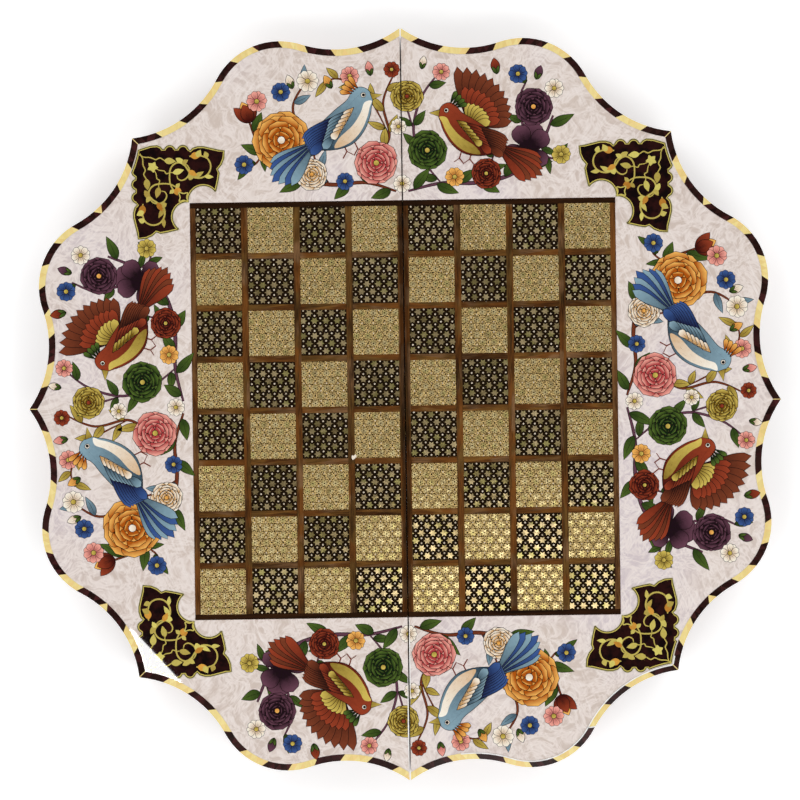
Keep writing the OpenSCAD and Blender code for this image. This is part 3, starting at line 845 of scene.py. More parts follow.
# Leaves of one arm: base, angle, length and width
LEAVES = [
    ((0.56, 0.3), -75, 0.2, 0.1), ((0.8, 0.46), -95, 0.2, 0.11), ((0.84, 0.24), 240, 0.2, 0.09),
    ((0.87, -0.04), -80, 0.2, 0.12), ((0.86, -0.16), -30, 0.14, 0.1), ((0.47, -0.1), -60, 0.2, 0.08),
    ((0.49, -0.3), -95, 0.16, 0.07), ((0.26, 0.26), 200, 0.12, 0.09), ((0.24, 0.28), 130, 0.1, 0.07),
    ((0.42, -0.02), -20, 0.16, 0.1), ((0.84, -0.36), 20, 0.12, 0.09), ((0.6, 0.0), -120, 0.17, 0.09),
    ((0.74, 0.12), -60, 0.12, 0.08),
]
# The line round the little lozenge at the inner corner
LOZENGE = [
    (0.02, 0.02), (0.04, 0.1), (0.02, 0.18), (0.1, 0.165), (0.19, 0.19), (0.17, 0.1), (0.18, 0.02),
    (0.1, 0.04),
]
ORNAMENT_SIZE = 35 * MM
ORNAMENT_GAP = 0.5 * MM
ORNAMENT_LIFT = 0.0004 * MM
VINE_WIDTH = 1.35 * MM
LOZENGE_LINE = 0.8 * MM
LEAF_FULLNESS = 1.12
STAR_BUD = (0.68, 0.68)
ornament_x = field_right + ORNAMENT_GAP
ornament_y = {1: field_high.y + ORNAMENT_GAP, -1: field_low.y - ORNAMENT_GAP}


def ornament_place(end, side, swap):
    """Maps the ornament's units to the board, at the back or front, left or right, on either arm."""

    def place(point):
        u, v = point[::-1] if swap else point
        return (side * (ornament_x + u * ORNAMENT_SIZE), ornament_y[end] + end * v * ORNAMENT_SIZE)

    return place


def gild_ornament(end, side):
    """Paints one ornament. Each stroke lies a hair above the last, so that none share a height."""
    lift = 0

    def paint(pieces, tone, inlay=gilding):
        inlay.lay_all(pieces, tone, face_z + 2 * FILM + lift * ORNAMENT_LIFT)

    def placed(outline):
        return [[place(p) for p in piece] for piece in spread(outline)]

    for swap in (False, True):
        place = ornament_place(end, side, swap)
        for points, width, taper in VINES:
            lift += 1
            run = [place(p) for p in curve_through(points)]
            paint(ribbon(run, width * VINE_WIDTH, taper=taper), 0.55)
        for i, (base, angle, length, width) in enumerate(LEAVES):
            lift += 1
            leaf = leaf_outline(base, angle, length * LEAF_FULLNESS, width * LEAF_FULLNESS)
            paint(placed(leaf), random.uniform(0.3, 1), coppering if i % 4 == 3 else gilding)
    lift += 1
    paint(ribbon([place(p) for p in curve_through(LOZENGE, True, 4)], LOZENGE_LINE, True), 0.7)
    for turn in range(0, 360, 72):
        lift += 1
        paint(placed(leaf_outline(STAR_BUD, 45 + turn, 0.11, 0.08)), 0.9)


for end in (1, -1):
    for side in (1, -1):
        gild_ornament(end, side)
print("scrolls that reach", ORNAMENT_SIZE / MM, "mm from the field's corners")

# %% [markdown]
# Turned over, each half is a tray for backgammon. Its twelve points have a bone line round them, and
# stars that grow from the tip to the base. Smaller stars and bone dots run along the frame. The
# trays' floors look down, so these pieces lie a hair below them and face down.

# %% Points and frames of the wells
bone_lines = Inlay("bone_lines", bone, "light_points")
gold_stars = Inlay("well_gold_stars", star_gold, "dark_points")
ebony_stars = Inlay("well_ebony_stars", ebony_stick, "light_points")
tray_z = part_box("left_dark_points")[0].z
BONE_LINE = 0.5 * MM
SMALLEST_STAR = 0.9 * MM
FRAME_STEP = 2.2 * MM
LINE_TONE = 0.85
FIRST_STAR = 0.75
STAR_SHARE = 0.5
STAR_STEP = 2.4
DOT_SHARE = 0.2


def lay_below(inlay, pieces, level=1):
    """Lays pieces on the trays' floors, facing down."""
    for piece in pieces:
        toned = [corner if len(corner) > 2 else (*corner, LINE_TONE) for corner in piece]
        inlay.lay(toned, tray_z - level * FILM, -1)


def steps_along(loop, step, inset):
    """Places along a closed line, a step apart and an inset inside it."""
    for start, end in zip(loop, loop[1:] + loop[:1]):
        along = Vector(end) - Vector(start)
        inward = Vector((along.y, -along.x)).normalized() * inset
        count = max(round(along.length / step), 1)
        for i in range(count):
            yield Vector(start) + along * ((i + 0.5) / count) + inward


def star_point(loop, stars):
    """Dresses one point: its edge line, and stars from its base to its tip."""
    lay_below(bone_lines, ribbon(loop, BONE_LINE, True, -BONE_LINE / 2))
    tip = min(loop, key=lambda p: abs(p[1]))
    base_y = max((y for x, y in loop), key=abs)
    wide = [x for x, y in loop if abs(y - base_y) < MM]
    half_width, length = (max(wide) - min(wide)) / 2, abs(base_y - tip[1])
    travelled = FIRST_STAR * half_width
    while True:
        radius = STAR_SHARE * half_width * (1 - travelled / length)
        if radius < SMALLEST_STAR:
            break
        y = base_y - math.copysign(travelled, base_y)
        lay_below(stars, star_kites(tip[0], y, radius, radius * 0.5, 0.6, 0.3))
        lay_below(bone_lines, [disc(tip[0], y, radius * DOT_SHARE, 1.0)], 2)
        travelled += STAR_STEP * radius


for half in HALVES:
    for node, stars in (("dark_points", gold_stars), ("light_points", ebony_stars)):
        for loop in outlines(f"{half}_{node}", -1):
            star_point(loop, stars)
    frame_loops = sorted(outlines(half + "_well_frame", -1), key=lambda loop: max(y for x, y in loop))
    band = max(y for x, y in frame_loops[-1]) - max(y for x, y in frame_loops[0])
    for loop in frame_loops:
        lay_below(bone_lines, ribbon(loop, BONE_LINE, True, -BONE_LINE / 2))
    for i, spot in enumerate(steps_along(frame_loops[-1], FRAME_STEP, band / 2)):
        if i % 2:
            lay_below(bone_lines, [disc(*spot, band * 0.1, 0.9)])
        else:
            lay_below(gold_stars, star_kites(*spot, band * 0.34, band * 0.18, 0.7, 0.2))
print("a frame of", band / MM, "mm round the points")

# %% [markdown]
# Four felt pads keep the open board off the table. Felt is cut from a sheet and glued in a recess:
# its faces stay flat, its cut edge bulges a little and is never quite round. So each disc is turned
# from a short profile, and its rings wander by up to a fiftieth of the radius.

# %% Felt pads
# The profile of a pad from the middle of its underside to that of its top, as shares of its size
PAD_PROFILE = [
    (0.0, 0.0), (0.5, 0.0), (0.86, 0.0), (0.94, 0.05), (0.98, 0.2), (0.99, 0.5), (0.96, 0.9), (0.9, 1.0),
    (0.0, 1.0),
]
PAD_SIDES = 40
PAD_WANDER = 0.02
for half in HALVES:
    pad_low, pad_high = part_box(half + "_pads")
    points, faces = [], []
    for loop in outlines(half + "_pads", -1):
        middle = sum((Vector(p) for p in loop), Vector((0, 0))) / len(loop)
        radius = (Vector(loop[0]) - middle).length
        first = len(points)
        for share, rise in PAD_PROFILE:
            for i in range(PAD_SIDES):
                r = radius * share * (1 - random.uniform(0, PAD_WANDER))
                z = pad_low.z + rise * (pad_high.z - pad_low.z)
                points.append((*out_from(middle, 2 * math.pi * i / PAD_SIDES, r), z))
        for ring in range(len(PAD_PROFILE) - 1):
            for i in range(PAD_SIDES):
                here, after = first + ring * PAD_SIDES + i, first + ring * PAD_SIDES + (i + 1) % PAD_SIDES
                faces.append((here, after, after + PAD_SIDES, here + PAD_SIDES))
    felt_pads = add_mesh(half + "_felt_pads", points, faces, felt)
    bm = bmesh.new()
    bm.from_mesh(felt_pads.data)
    bmesh.ops.remove_doubles(bm, verts=bm.verts, dist=0.001 * MM)
    bmesh.ops.recalc_face_normals(bm, faces=bm.faces)
    for face in bm.faces:
        face.smooth = True
    bm.to_mesh(felt_pads.data)
    bm.free()
    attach(felt_pads, half + "_half")
    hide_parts(half + "_pads")
print("felt pads of", 2 * radius / MM, "mm")

# %% [markdown]
# Between the field and the rim a frieze of flowers and birds is painted on each side, in gouache
# colours with fine dark lines, as miniature painters do. One frieze is laid four times, turned by a
# quarter each time. A painter covers what lies behind, and so does this one: each shape lies a
# thousandth of a millimetre above the shape before it, at the next level of paint, and its ink line
# one level higher. What never overlaps shares its levels, which keeps the whole painting about as
# thick as a coat of paint. A shape's tone runs from dark at its root to light at its tip.

# %% Paints
PAINTS = {
    "ink": ((14, 8, 8), (44, 28, 24)),
    "blue_grey": ((44, 64, 78), (140, 170, 184)),
    "amber": ((172, 84, 16), (246, 186, 96)),
    "cream": ((206, 160, 104), (252, 246, 232)),
    "chestnut": ((34, 12, 8), (126, 62, 38)),
    "aubergine": ((30, 14, 22), (108, 68, 84)),
    "green": ((14, 34, 12), (88, 112, 44)),
    "pink": ((176, 66, 66), (244, 172, 156)),
    "ochre": ((116, 88, 22), (214, 190, 92)),
    "royal": ((16, 18, 54), (62, 92, 150)),
    "red_brown": ((64, 16, 10), (154, 64, 38)),
}
paints = {
    name: Inlay("painting_" + name, toned_finish("paint_" + name, dark, light, 420, 0.35), "pearl_face")
    for name, (dark, light) in PAINTS.items()
}
STROKE_LIFT = 0.001 * MM
OUTLINE = 0.34
FINE_LINE = 0.17
LEAF_LEVELS = 8
print(len(paints), "paints")


# %% [markdown]
# A motif, such as a flower or a bird, is drawn round its own middle and then posed in the frieze:
# moved, sized, tilted or mirrored. Its outlines are filled from dark to light, and every petal gets
# an ink line and veins. A few random degrees on each petal keep the four friezes from being copies.

# %% The painter
# Petals of an iris and a tulip: their angle, and their length and width as shares of its size
IRIS = ((90, 1.1, 0.9), (128, 1.0, 0.75), (52, 1.0, 0.75), (205, 0.95, 0.62), (-25, 0.95, 0.62),
        (-90, 1.0, 0.85))
TULIP = ((90, 1.0, 0.6), (116, 1.0, 0.5), (64, 1.0, 0.5), (90, 0.86, 0.56))


def dot_outline(x, y, radius):
    return [(px, py) for px, py, tone in disc(x, y, radius, 0)]


class Painter:
    """Paints one frieze. Its own units are mm: u runs along the frieze and v away from the field."""

    def __init__(self, turn, start):
        self.turn = math.radians(turn)
        self.start = start / MM
        self.level = 0
        self.pose((0, 0))

    def pose(self, at, size=1.0, tilt=0, facing=1):
        """Sets where a motif's own drawing lies in the frieze. Facing -1 mirrors it."""
        self.at, self.size, self.tilt, self.facing = at, size, math.radians(tilt), facing

    def spot(self, point):
        """The place on the board of a point of the motif's own drawing."""
        x, y = point[0] * self.size * self.facing, point[1] * self.size
        u, v = out_from(self.at, self.tilt, x, y)
        return tuple(c * MM for c in out_from((0, 0), self.turn, u, v + self.start))

    def fill(self, piece, tones, paint, level):
        corners = [(*self.spot(p), tone) for p, tone in zip(piece, tones)]
        paints[paint].lay(corners, face_z + FILM + level * STROKE_LIFT)

    def stroke(self, points, width, paint, tone=0.5, taper=0.85):
        """A brush stroke at the next level."""
        for piece in ribbon(points, width / self.size, taper=taper):
            self.fill(piece, [tone] * 4, paint, self.level)
        self.level += 1

    def ink(self, points, width=FINE_LINE, taper=0.85):
        """A fine dark line, at the level of the last shape's outline."""
        for piece in ribbon(points, width / self.size, taper=taper):
            self.fill(piece, [0.3] * 4, "ink", self.level - 1)

    def shape(self, outline, paint, low=0.15, high=0.85, angle=90, line=OUTLINE):
        """Fills an outline, from dark to light in the direction of an angle, and draws its edge."""
        way = (math.cos(math.radians(angle)), math.sin(math.radians(angle)))
        reach = [p[0] * way[0] + p[1] * way[1] for p in outline]
        start, length = min(reach), max(reach) - min(reach)
        for piece in spread(outline):
            tones = [low + (high - low) * (p[0] * way[0] + p[1] * way[1] - start) / length for p in piece]
            self.fill(piece, tones, paint, self.level)
        self.level += 2
        if line:
            self.ink([*outline, outline[0]], line, 0)

    def petal(self, base, angle, length, width, paint, widest=0.62, blunt=0.6, low=0.1, high=0.9, bend=0.0,
              veins=2, line=OUTLINE):
        """A petal or a feather, with veins that spread from its base."""
        outline = leaf_outline(base, angle, length, width, widest, blunt, bend)
        self.shape(outline, paint, low, high, angle, line)
        for i in range(veins):
            side = math.radians(14 * (i - (veins - 1) / 2) / max(veins - 1, 1))
            reaches = [length * share for share in (0.18, 0.4, 0.62 + 0.12 * (i % 2))]
            turns = [math.radians(angle) + side + bend * r / length for r in reaches]
            self.ink([out_from(base, a, r) for r, a in zip(reaches, turns)])

    def leaf(self, base, angle, length, width, paint, bend):
        """A leaf with its midrib and side veins."""
        self.petal(base, angle, length, width, paint, 0.4, 1.0, 0.15, 0.8, bend, veins=0)
        a = math.radians(angle)
        self.ink([out_from(base, a, t * length, bend * length * t * t) for t in (0, 0.3, 0.6, 0.92)], 0.22)
        for t in (0.28, 0.45, 0.62):
            for side in (-1, 1):
                root, rise = t * length, bend * length * t * t
                end = out_from(base, a, root + 0.16 * length, rise + side * 0.32 * width)
                self.ink([out_from(base, a, root, rise), end])

    def ring(self, count, turn, lay):
        """Calls a function for each petal of a ring, every second petal above its neighbours."""
        lowest = self.level
        for i in range(count):
            self.level = lowest + 2 * (i % 2)
            lay(360 * i / count + turn + random.uniform(-6, 6))
        self.level = lowest + 4

    def rose(self, at, radius, paint, heart):
        """A full flower. Each ring of petals is dark where the next ring shades it."""
        self.pose(at)
        for i, count in enumerate((10, 10, 8, 8, 6)):
            reach = radius * (1 - 0.18 * i)
            width = 2.8 * reach * math.sin(math.pi / count)

            def lay(angle):
                length = reach * random.uniform(0.94, 1.03)
                self.petal((0, 0), angle, length, width, paint, 0.7, 0.45, -2.6, 1.05, veins=3)

            self.ring(count, 31 * i, lay)
        self.shape(dot_outline(0, 0, radius * 0.13), heart, 0.4, 1.0)

    def daisy(self, at, radius, paint):
        """Ten petals round an ochre heart."""
        self.pose(at)

        def lay(angle):
            self.petal((0, 0), angle, radius, radius * 0.62, paint, 0.7, 0.55, 0.1, 1.0, veins=2, line=0.24)

        self.ring(10, 0, lay)
        self.shape(dot_outline(0, 0, radius * 0.24), "ochre", 0.3, 1.0)

    def iris(self, at, radius, paint, tilt):
        """A bearded flower: three petals stand up and three hang down."""
        self.pose(at, 1, tilt)
        for angle, length, width in IRIS:
            self.petal((0, 0), angle, radius * length, radius * width, paint, 0.66, 0.5, -0.5, 1.0, veins=5)
        self.petal((0, 0), -90, radius * 0.5, radius * 0.22, "ochre", veins=0)

    def tulip(self, at, size, paint, inner, tilt):
        """A tulip, whose first petal stands behind the others and has the inner colour."""
        self.pose(at, 1, tilt)
        for i, (angle, length, width) in enumerate(TULIP):
            colour = paint if i else inner
            self.petal((0, 0), angle, size * length, size * width, colour, 0.45, 0.8, -0.2, 1.0, veins=3)

    def bud(self, at, angle, size, paint):
        """A closed flower between two green leaves."""
        self.pose(at)
        self.petal((0, 0), angle, size, size * 0.55, paint, 0.5, 0.8, veins=2)
        for side in (-22, 22):
            self.petal((0, 0), angle + side, size * 0.55, size * 0.22, "green", 0.45, 1.0, veins=0)

    def stem(self, points, width, paint):
        """A stem with its ink edge. Returns the points of its curve."""
        self.pose((0, 0))
        run = curve_through(points)
        self.stroke(run, width * 1.45, "ink", 0.3, 0.5)
        self.stroke(run, width, paint, 0.75, 0.6)
        return run

    def leaves(self, run, size, paint, turn):
        """Leaves on alternate sides of a stem's curve."""
        lowest = self.level
        side = 1
        for i, (here, ahead) in enumerate(zip(run[2:-1:5], run[3::5])):
            along = math.degrees(math.atan2(ahead[1] - here[1], ahead[0] - here[0]))
            self.level = lowest + 2 * ((i + turn) % LEAF_LEVELS)
            length = size * random.uniform(0.8, 1.15)
            self.leaf(here, along + side * random.uniform(38, 58), length, size * 0.4, paint, -side * 0.12)
            side = -side
        self.level = lowest


# %% [markdown]
# The two birds are one drawing in other colours, one of them with a raised wing. Their feathers lie
# in rows like tiles on a roof: the long ones first, then shorter ones over their roots.

# %% Birds
BODY = [(17.6, 10.4), (16, 13), (13, 14.3), (9.6, 13), (6.5, 10), (0, 7), (-8, 2.5), (-14, -2.2), (-15, -6),
        (-10, -8.6), (-3, -10), (4, -9.4), (10, -5.6), (14.4, 0), (16.6, 4.8), (17.8, 7.6)]
BELLY = [(17.2, 7), (15.6, 4.4), (13.4, 0.4), (9, -5), (3, -8.6), (-4, -9.2), (-1, -5.4), (6, -1.6),
         (11, 3), (13.8, 7)]


def bird(painter, pose, coat, breast, wing, crest, open_wing):
    """A songbird on a branch, drawn with its beak to the right, in mm."""
    painter.pose(*pose)

    def feather(base, angle, length, width, paint, low=-0.4, veins=1):
        painter.petal(base, angle, length, width, paint, 0.73, 0.47, low, 1.0, veins=veins)

    def row_of_feathers(count, base, step, angle, turn, length, shorter, width, paint, veins=1):
        for i in range(count):
            root = (base[0] - step[0] * i, base[1] - step[1] * i)
            feather(root, angle + turn * i, length - shorter * i, width, paint, veins=veins)

    # Tail
    for i in range(7):
        feather((-11, -4), 190 + 6 * i, 27 - 1.4 * abs(i - 3), 4.4, (coat, wing)[i % 2], 0.0, 2)
    if open_wing:
        row_of_feathers(11, (3, 4), (0, 0), 74, 9.5, 29, 0.8, 5.2, wing, 2)
        row_of_feathers(9, (3, 4), (0, 0), 80, 10.5, 19, 0.4, 4.6, coat)
        row_of_feathers(7, (3, 4), (0, 0), 86, 13, 11, 0, 4.2, breast)
    # Legs and body
    for x in (0, 5):
        painter.stroke([(x, -8), (x + 0.8, -12), (x - 1.6, -14.5)], 0.9, "red_brown", 0.4, 0.2)
        painter.stroke([(x + 0.8, -12), (x + 3.2, -14)], 0.8, "red_brown", 0.4, 0.4)
    painter.shape(curve_through(BODY, True, 4), coat, 0.0, 0.95, 62)
    painter.shape(curve_through(BELLY, True, 4), breast, 0.15, 1.0, 30, 0.0)
    # Speckled breast and neck
    for row in range(5):
        for i in range(4):
            x, y = 13 - 3 * row - 0.9 * i, 4.2 - 2.9 * i - 0.5 * row
            painter.ink([(x, y), (x - 1.5, y - 0.9)], 0.3)
    for i in range(10):
        painter.ink([(15 - 2.1 * i, 12.6 - 1.25 * i), (13 - 2.1 * i, 11.1 - 1.25 * i)], 0.3)
    # Folded wing
    row_of_feathers(8, (5, 5.4), (1.3, 1.25), 197, 1.5, 23, 1.5, 4.2, wing, 2)
    row_of_feathers(7, (7.2, 6.0), (1.5, 1.5), 203, 2, 12.5, 0.6, 3.9, coat)
    row_of_feathers(6, (8.8, 6.2), (1.6, 1.6), 210, 0, 6, 0, 3.4, breast)
    # Beak, eye and crest
    painter.shape([(17.3, 10.6), (22.4, 8.4), (17.6, 7.2)], "ochre", 0.2, 0.9, 0)
    painter.ink([(17.5, 8.9), (22, 8.4)], 0.25)
    painter.shape(dot_outline(14.2, 10.4, 1.1), "cream", 0.8, 1.0)
    painter.shape(dot_outline(14.3, 10.4, 0.72), "ink", 0, 0.1, line=0)
    row_of_feathers(4, (12.6, 13.8), (1, 0.5), 112, 15, 6.8, 0.4, 2.2, crest)


# %% [markdown]
# The stems grow from the middle of the frieze toward its ends, and carry leaves and flowers. Roses
# are the largest and lie below the daisies and buds, and the birds sit in front of everything.

# %% One frieze
# Stems: the points that they run through, their width and the size of their leaves
STEMS = [
    ([(-4, 3), (-24, 9), (-48, 8), (-72, 14), (-92, 30), (-101, 50)], 2.0, 17),
    ([(4, 3), (26, 8), (50, 8), (74, 14), (92, 32), (101, 52)], 2.0, 17),
    ([(-24, 9), (-16, 26), (-8, 40), (-12, 62), (-4, 82)], 1.3, 14),
    ([(26, 8), (14, 24), (8, 44), (14, 66), (26, 82)], 1.3, 14),
    ([(-72, 14), (-66, 36), (-72, 60), (-62, 78)], 1.3, 13),
    ([(74, 14), (82, 36), (78, 60), (84, 76)], 1.3, 13),
    ([(-92, 30), (-98, 22), (-108, 20)], 1.0, 11),
    ([(92, 32), (98, 24), (108, 24)], 1.0, 11),
    ([(-8, 40), (-22, 66), (-40, 78), (-52, 76)], 1.0, 12),
    ([(8, 44), (4, 58), (2, 70)], 1.0, 11),
    ([(-48, 8), (-56, 20), (-60, 34)], 1.0, 12),
    ([(50, 8), (58, 18), (62, 30)], 1.0, 12),
]
ROSES = [
    ((-80, 38), 20, "amber", "cream"), ((-17, 22), 15, "pink", "ochre"), ((17, 30), 13.5, "green", "ochre"),
    ((88, 58), 13, "aubergine", "amber"), ((4, 66), 11, "ochre", "red_brown"),
    ((-60, 15), 11, "cream", "amber"), ((56, 14), 10.5, "red_brown", "ochre"),
]
DAISIES = [
    ((-105, 22), 6.5, "royal"), ((-62, 77), 7.5, "cream"), ((-34, 80), 6.5, "pink"),
    ((106, 26), 6.5, "ochre"), ((-38, 10), 6, "royal"), ((35, 12), 6.5, "amber"), ((27, 82), 6, "pink"),
    ((-96, 64), 7, "pink"),
    ((102, 70), 6.5, "cream"), ((0, 8), 6, "cream"), ((78, 80), 6.5, "royal"), ((-2, 46), 5.5, "cream"),
    ((-80, 70), 6.5, "royal"), ((-6, 84), 5.5, "red_brown"),
]
BUDS = [
    ((-20, 80), 100, 10, "pink"), ((14, 84), 78, 9, "cream"), ((64, 80), 100, 11, "red_brown"),
    ((-72, 72), 110, 10, "cream"), ((-46, 72), 120, 10, "amber"), ((90, 76), 70, 10, "aubergine"),
]
BIRDS = [
    (((-42, 47), 1.5, 14, 1), "blue_grey", "cream", "royal", "amber", False),
    (((48, 40), 1.38, -6, -1), "red_brown", "ochre", "chestnut", "green", True),
]
LEAF_PAINTS = ("green", "green", "ochre", "green", "blue_grey", "green")
# The level where each kind of motif starts, above all that the kind before it can fill
LEAF_LEVEL = 8
IRIS_LEVEL = LEAF_LEVEL + 2 * LEAF_LEVELS
ROSE_LEVEL = IRIS_LEVEL + 14
BLOOM_LEVEL = ROSE_LEVEL + 24
BUD_LEVEL = BLOOM_LEVEL + 8
BIRD_LEVEL = BUD_LEVEL + 8
# All that is painted over the stems, in order: its level, what draws it, and each one's own values
MOTIFS = [
    (IRIS_LEVEL, Painter.iris, [((84, 30), 17, "aubergine", -14)]),
    (IRIS_LEVEL, Painter.tulip, [((-100, 50), 15, "red_brown", "amber", 24)]),
    (ROSE_LEVEL, Painter.rose, ROSES),
    (BLOOM_LEVEL, Painter.daisy, DAISIES),
    (BUD_LEVEL, Painter.bud, BUDS),
    (BIRD_LEVEL, bird, BIRDS),
]


def frieze(turn, start):
    """The whole frieze: stems and leaves first, then the flowers, then the birds."""
    painter = Painter(turn, start)
    for i, (points, width, size) in enumerate(STEMS):
        painter.level = 2 * (i % (LEAF_LEVEL // 2))
        run = painter.stem(points, width, ("chestnut", "aubergine")[i % 2])
        painter.level = LEAF_LEVEL
        painter.leaves(run, size, LEAF_PAINTS[i % len(LEAF_PAINTS)], 3 * i)
    for level, draw, motifs in MOTIFS:
        for values in motifs:
            painter.level = level
            draw(painter, *values)
    return painter.level * STROKE_LIFT


FRIEZE_GAP = 3 * MM
field_sides = {0: field_high.y, 90: -field_left, 180: -field_low.y, 270: field_right}
for turn, side in field_sides.items():
    thickness = frieze(turn, side + FRIEZE_GAP)
print("the painting is", thickness / MM, "mm thick")

# %% [markdown]
# The lacquer's rounded edges catch the light, and this is painted in as painted highlight. In front
# it shows as a white line beside the seam, first on the right and then on the left, and also along the
# inner edge of the rim at the front right. A small pale speck lies at the corner of one square of the
# left half.

# %% Painted highlights by the seam and the rim, and a pale speck
# White lines of painted highlight, beside the seam and along the rim's inner edge at the front right
highlight = toned_finish("painted_highlight", (170, 158, 150), (255, 253, 250), 900, 0.3)
highlight_lines = Inlay("painted_seam_highlights", highlight, "pearl_face")
HIGHLIGHT_WIDTH = 0.75 * MM
HIGHLIGHT_STEPS = 30
RIGHT_LINE_END = -0.196
LEFT_LINE_START = -0.182
LINE_OVERLAP = 2 * MM
RIM_LINE_FRONT = -0.171
RIM_LINE_LEFT = 0.035
INWARD = -0.8


def lay_highlight(line, shift=0.0, taper=0.0):
    for piece in ribbon(line, HIGHLIGHT_WIDTH, shift=shift, taper=taper):
        tone = random.uniform(0.75, 1)
        highlight_lines.lay([(x, y, tone) for x, y in piece], face_z + FILM + thickness + FILM)


right_line = (1, field_low.y - LINE_OVERLAP, RIGHT_LINE_END)
left_line = (-1, LEFT_LINE_START, cad_low.y + LINE_OVERLAP)
for side, start_y, end_y in (right_line, left_line):
    line = [
        (side * (half_x + 0.5 * HIGHLIGHT_WIDTH), start_y + (end_y - start_y) * i / HIGHLIGHT_STEPS)
        for i in range(HIGHLIGHT_STEPS + 1)
    ]
    lay_highlight(line, taper=0.7)
# Painted highlight along the inner edge of the rim at the front right
for start, end in outer_edges("right_rim_dark_blocks") + outer_edges("right_rim_light_blocks"):
    middle, along = (Vector(start) + Vector(end)) / 2, Vector(end) - Vector(start)
    faces_inward = Vector((along.y, -along.x)).normalized().dot(middle.normalized()) < INWARD
    if faces_inward and middle.y < RIM_LINE_FRONT and middle.x > RIM_LINE_LEFT:
        lay_highlight([start, end], HIGHLIGHT_WIDTH / 2)

# A pale speck at the corner of one square of the left half, brighter than the bone dots
PALE_SPECK_TONE = 1.2
PALE_SPECK_LEVEL = 3
# The pale speck's outline in mm
PALE_SPECK = [(-36.1, -34.2), (-35.8, -33.5), (-34.7, -33.8), (-33.6, -32.9), (-32.9, -33.6), (-32.9, -34.6),
        (-33.8, -35.5), (-35.2, -36.6), (-36.0, -35.9)]
pale_speck = [(x * MM, y * MM) for x, y in PALE_SPECK]
bone_dots.lay_all(spread(pale_speck), PALE_SPECK_TONE, face_z + PALE_SPECK_LEVEL * FILM)
print("milky lines of", HIGHLIGHT_WIDTH / MM, "mm")

# %% [markdown]
# The board lies on white paper. The paper glows a little toward the camera and in what mirrors it,
# which keeps it white in the picture without lighting the board from below. It doesn't glow under
# the seam, so that the gap between the halves stays dark.

# %% Floor
FLOOR_REACH = 30
FLOOR_GLOW = 0.35
SEAM_SHADOW = 12 * MM
paper = Finish("floor_paper", Base_Color=(0.9, 0.9, 0.9, 1), Roughness=0.9, Specular_IOR_Level=0.0)
paper.shader.inputs["Emission Strength"].default_value = 1.0
seen = paper.node("ShaderNodeLightPath", output=0)
mirrored = paper.node("ShaderNodeLightPath", output=3)
through = paper.node("ShaderNodeLightPath", output=6)
beside_seam = paper.range(abs(paper.axis(paper.place(), 0)), SEAM_SHADOW / 2, SEAM_SHADOW)
past_end = paper.range(abs(paper.axis(paper.place(), 1)), cad_high.y - SEAM_SHADOW, cad_high.y)
open_floor = beside_seam.sum("MAXIMUM", beside_seam, past_end)
paper.feed("Emission Color", (seen + mirrored + through) * FLOOR_GLOW * open_floor)
corners = [(x * FLOOR_REACH, y * FLOOR_REACH, 0) for x, y in ((-1, -1), (1, -1), (1, 1), (-1, 1))]
floor = add_mesh("floor", corners, [range(4)], paper)
floor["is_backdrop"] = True
print("a floor of", 2 * FLOOR_REACH, "m")

# %% [markdown]
# Soft daylight comes from four large panels round the board, and from a sky that is white near the
# horizon and dark straight above. The dark part is what the flat lacquer mirrors toward a camera
# that looks down, so the ebony stays black. Three more lamps stand where the face mirrors them
# toward the camera: one whitens the front left corner, and two broad cards make the brass gleam
# along the front, most of all at the right.

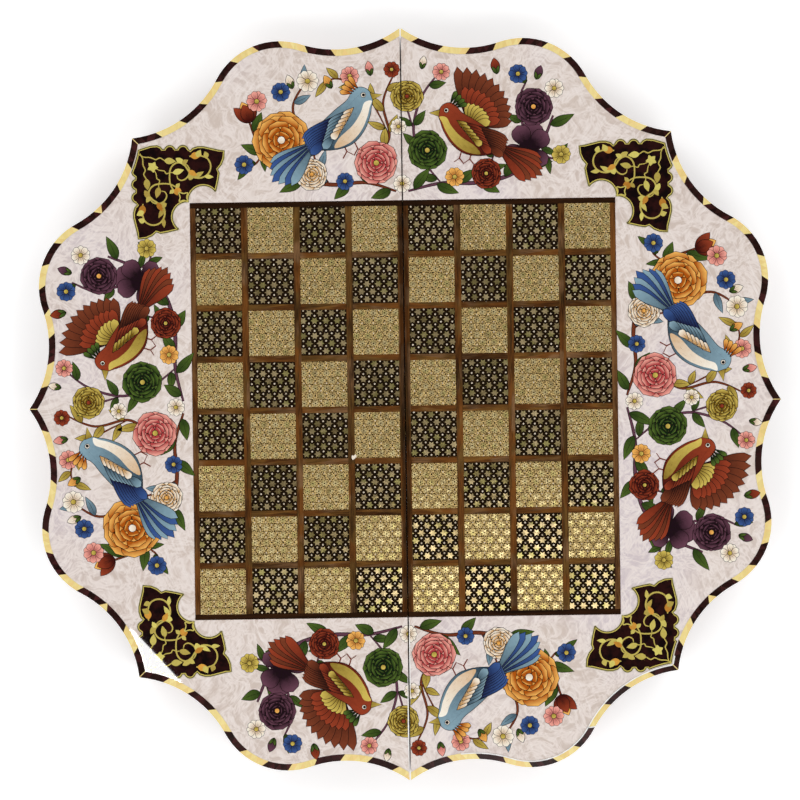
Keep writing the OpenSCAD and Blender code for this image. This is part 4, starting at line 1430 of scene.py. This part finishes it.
# %% Sky
WHITE_BELOW = 0.5
DARK_ABOVE = 0.93
HORIZON = (1.0, 1.0, 1.0, 1)
ZENITH = (0.04, 0.04, 0.045, 1)
world = bpy.data.worlds.new("sky")
bpy.context.scene.world = world
world.use_nodes = True
sky = world.node_tree
direction = add_node(sky, "ShaderNodeTexCoord", output=0)
height = add_node(sky, "ShaderNodeSeparateXYZ", None, {"Vector": direction}, 2)
limits = {"Value": height, "From Min": WHITE_BELOW, "From Max": DARK_ABOVE}
overhead = add_node(sky, "ShaderNodeMapRange", {"interpolation_type": "SMOOTHSTEP"}, limits)
colour = add_node(sky, "ShaderNodeMix", {"data_type": "RGBA"}, {0: overhead, 6: HORIZON, 7: ZENITH}, 2)
sky.links.new(colour.socket, sky.nodes["Background"].inputs["Color"])
print("a sky of", len(sky.nodes), "nodes")

# %% Lamps
PANEL_REACH = 1.25
PANEL_HEIGHT = 1.3
PANEL_SIZE = (0.8, 0.8)
PANEL_POWER = 4.35
PANEL_AIM = (0, 0, 0.03)
# Lamps that the face mirrors: the spot on the face, their size there, turn, height and radiance
MIRRORED_LAMPS = {
    "corner_lamp": ((-0.1715, -0.1728), (0.056, 0.0165), -48, 1.0, 24),
    "gleam_card": ((0.145, -0.38), (0.27, 0.23), 0, 1.4, 2.7),
    "faint_card": ((-0.135, -0.382), (0.26, 0.2), 0, 1.4, 0.65),
}


def lamp(name, place, size, power):
    """An oblong panel of light that faces the board."""
    data = bpy.data.lights.new(name, "AREA")
    data.shape = "RECTANGLE"
    data.size, data.size_y = size
    data.energy = power
    panel = add_object(name, data)
    panel.location = place
    panel.rotation_euler = (Vector(place) - Vector(PANEL_AIM)).to_track_quat("Z", "Y").to_euler()
    return panel


def mirrored_lamp(name, spot, spot_size, turn, height, radiance):
    """A panel that faces down, where the camera sees it mirrored in a spot of the face."""
    reach = 1 + height / CAMERA_HEIGHT
    width, depth = (side * reach for side in spot_size)
    place = [c + (s - c) * reach for s, c in zip(spot, camera.location)]
    panel = lamp(name, (*place, face_z + height), (width, depth), radiance * math.pi * width * depth)
    panel.rotation_euler = (0, 0, math.radians(turn))


for quarter in range(4):
    place = out_from((0, 0), math.radians(45 + 90 * quarter), PANEL_REACH)
    lamp(f"panel_{quarter}", (*place, PANEL_HEIGHT), PANEL_SIZE, PANEL_POWER)
for name, values in MIRRORED_LAMPS.items():
    mirrored_lamp(name, *values)
print("lamps:", ", ".join(light.name for light in bpy.data.lights))

# %% [markdown]
# Last, every inlay becomes its two meshes, and the size of the whole is shown beside the
# size of the solids. The fine pieces may not make the board larger.

# %% Finish
for inlay in inlays:
    inlay.finished()
low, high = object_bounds()
{"cad": [list(cad_low), list(cad_high)], "visual": [list(low), list(high)]}
print("the dressed board reaches from", tuple(low), "to", tuple(high))
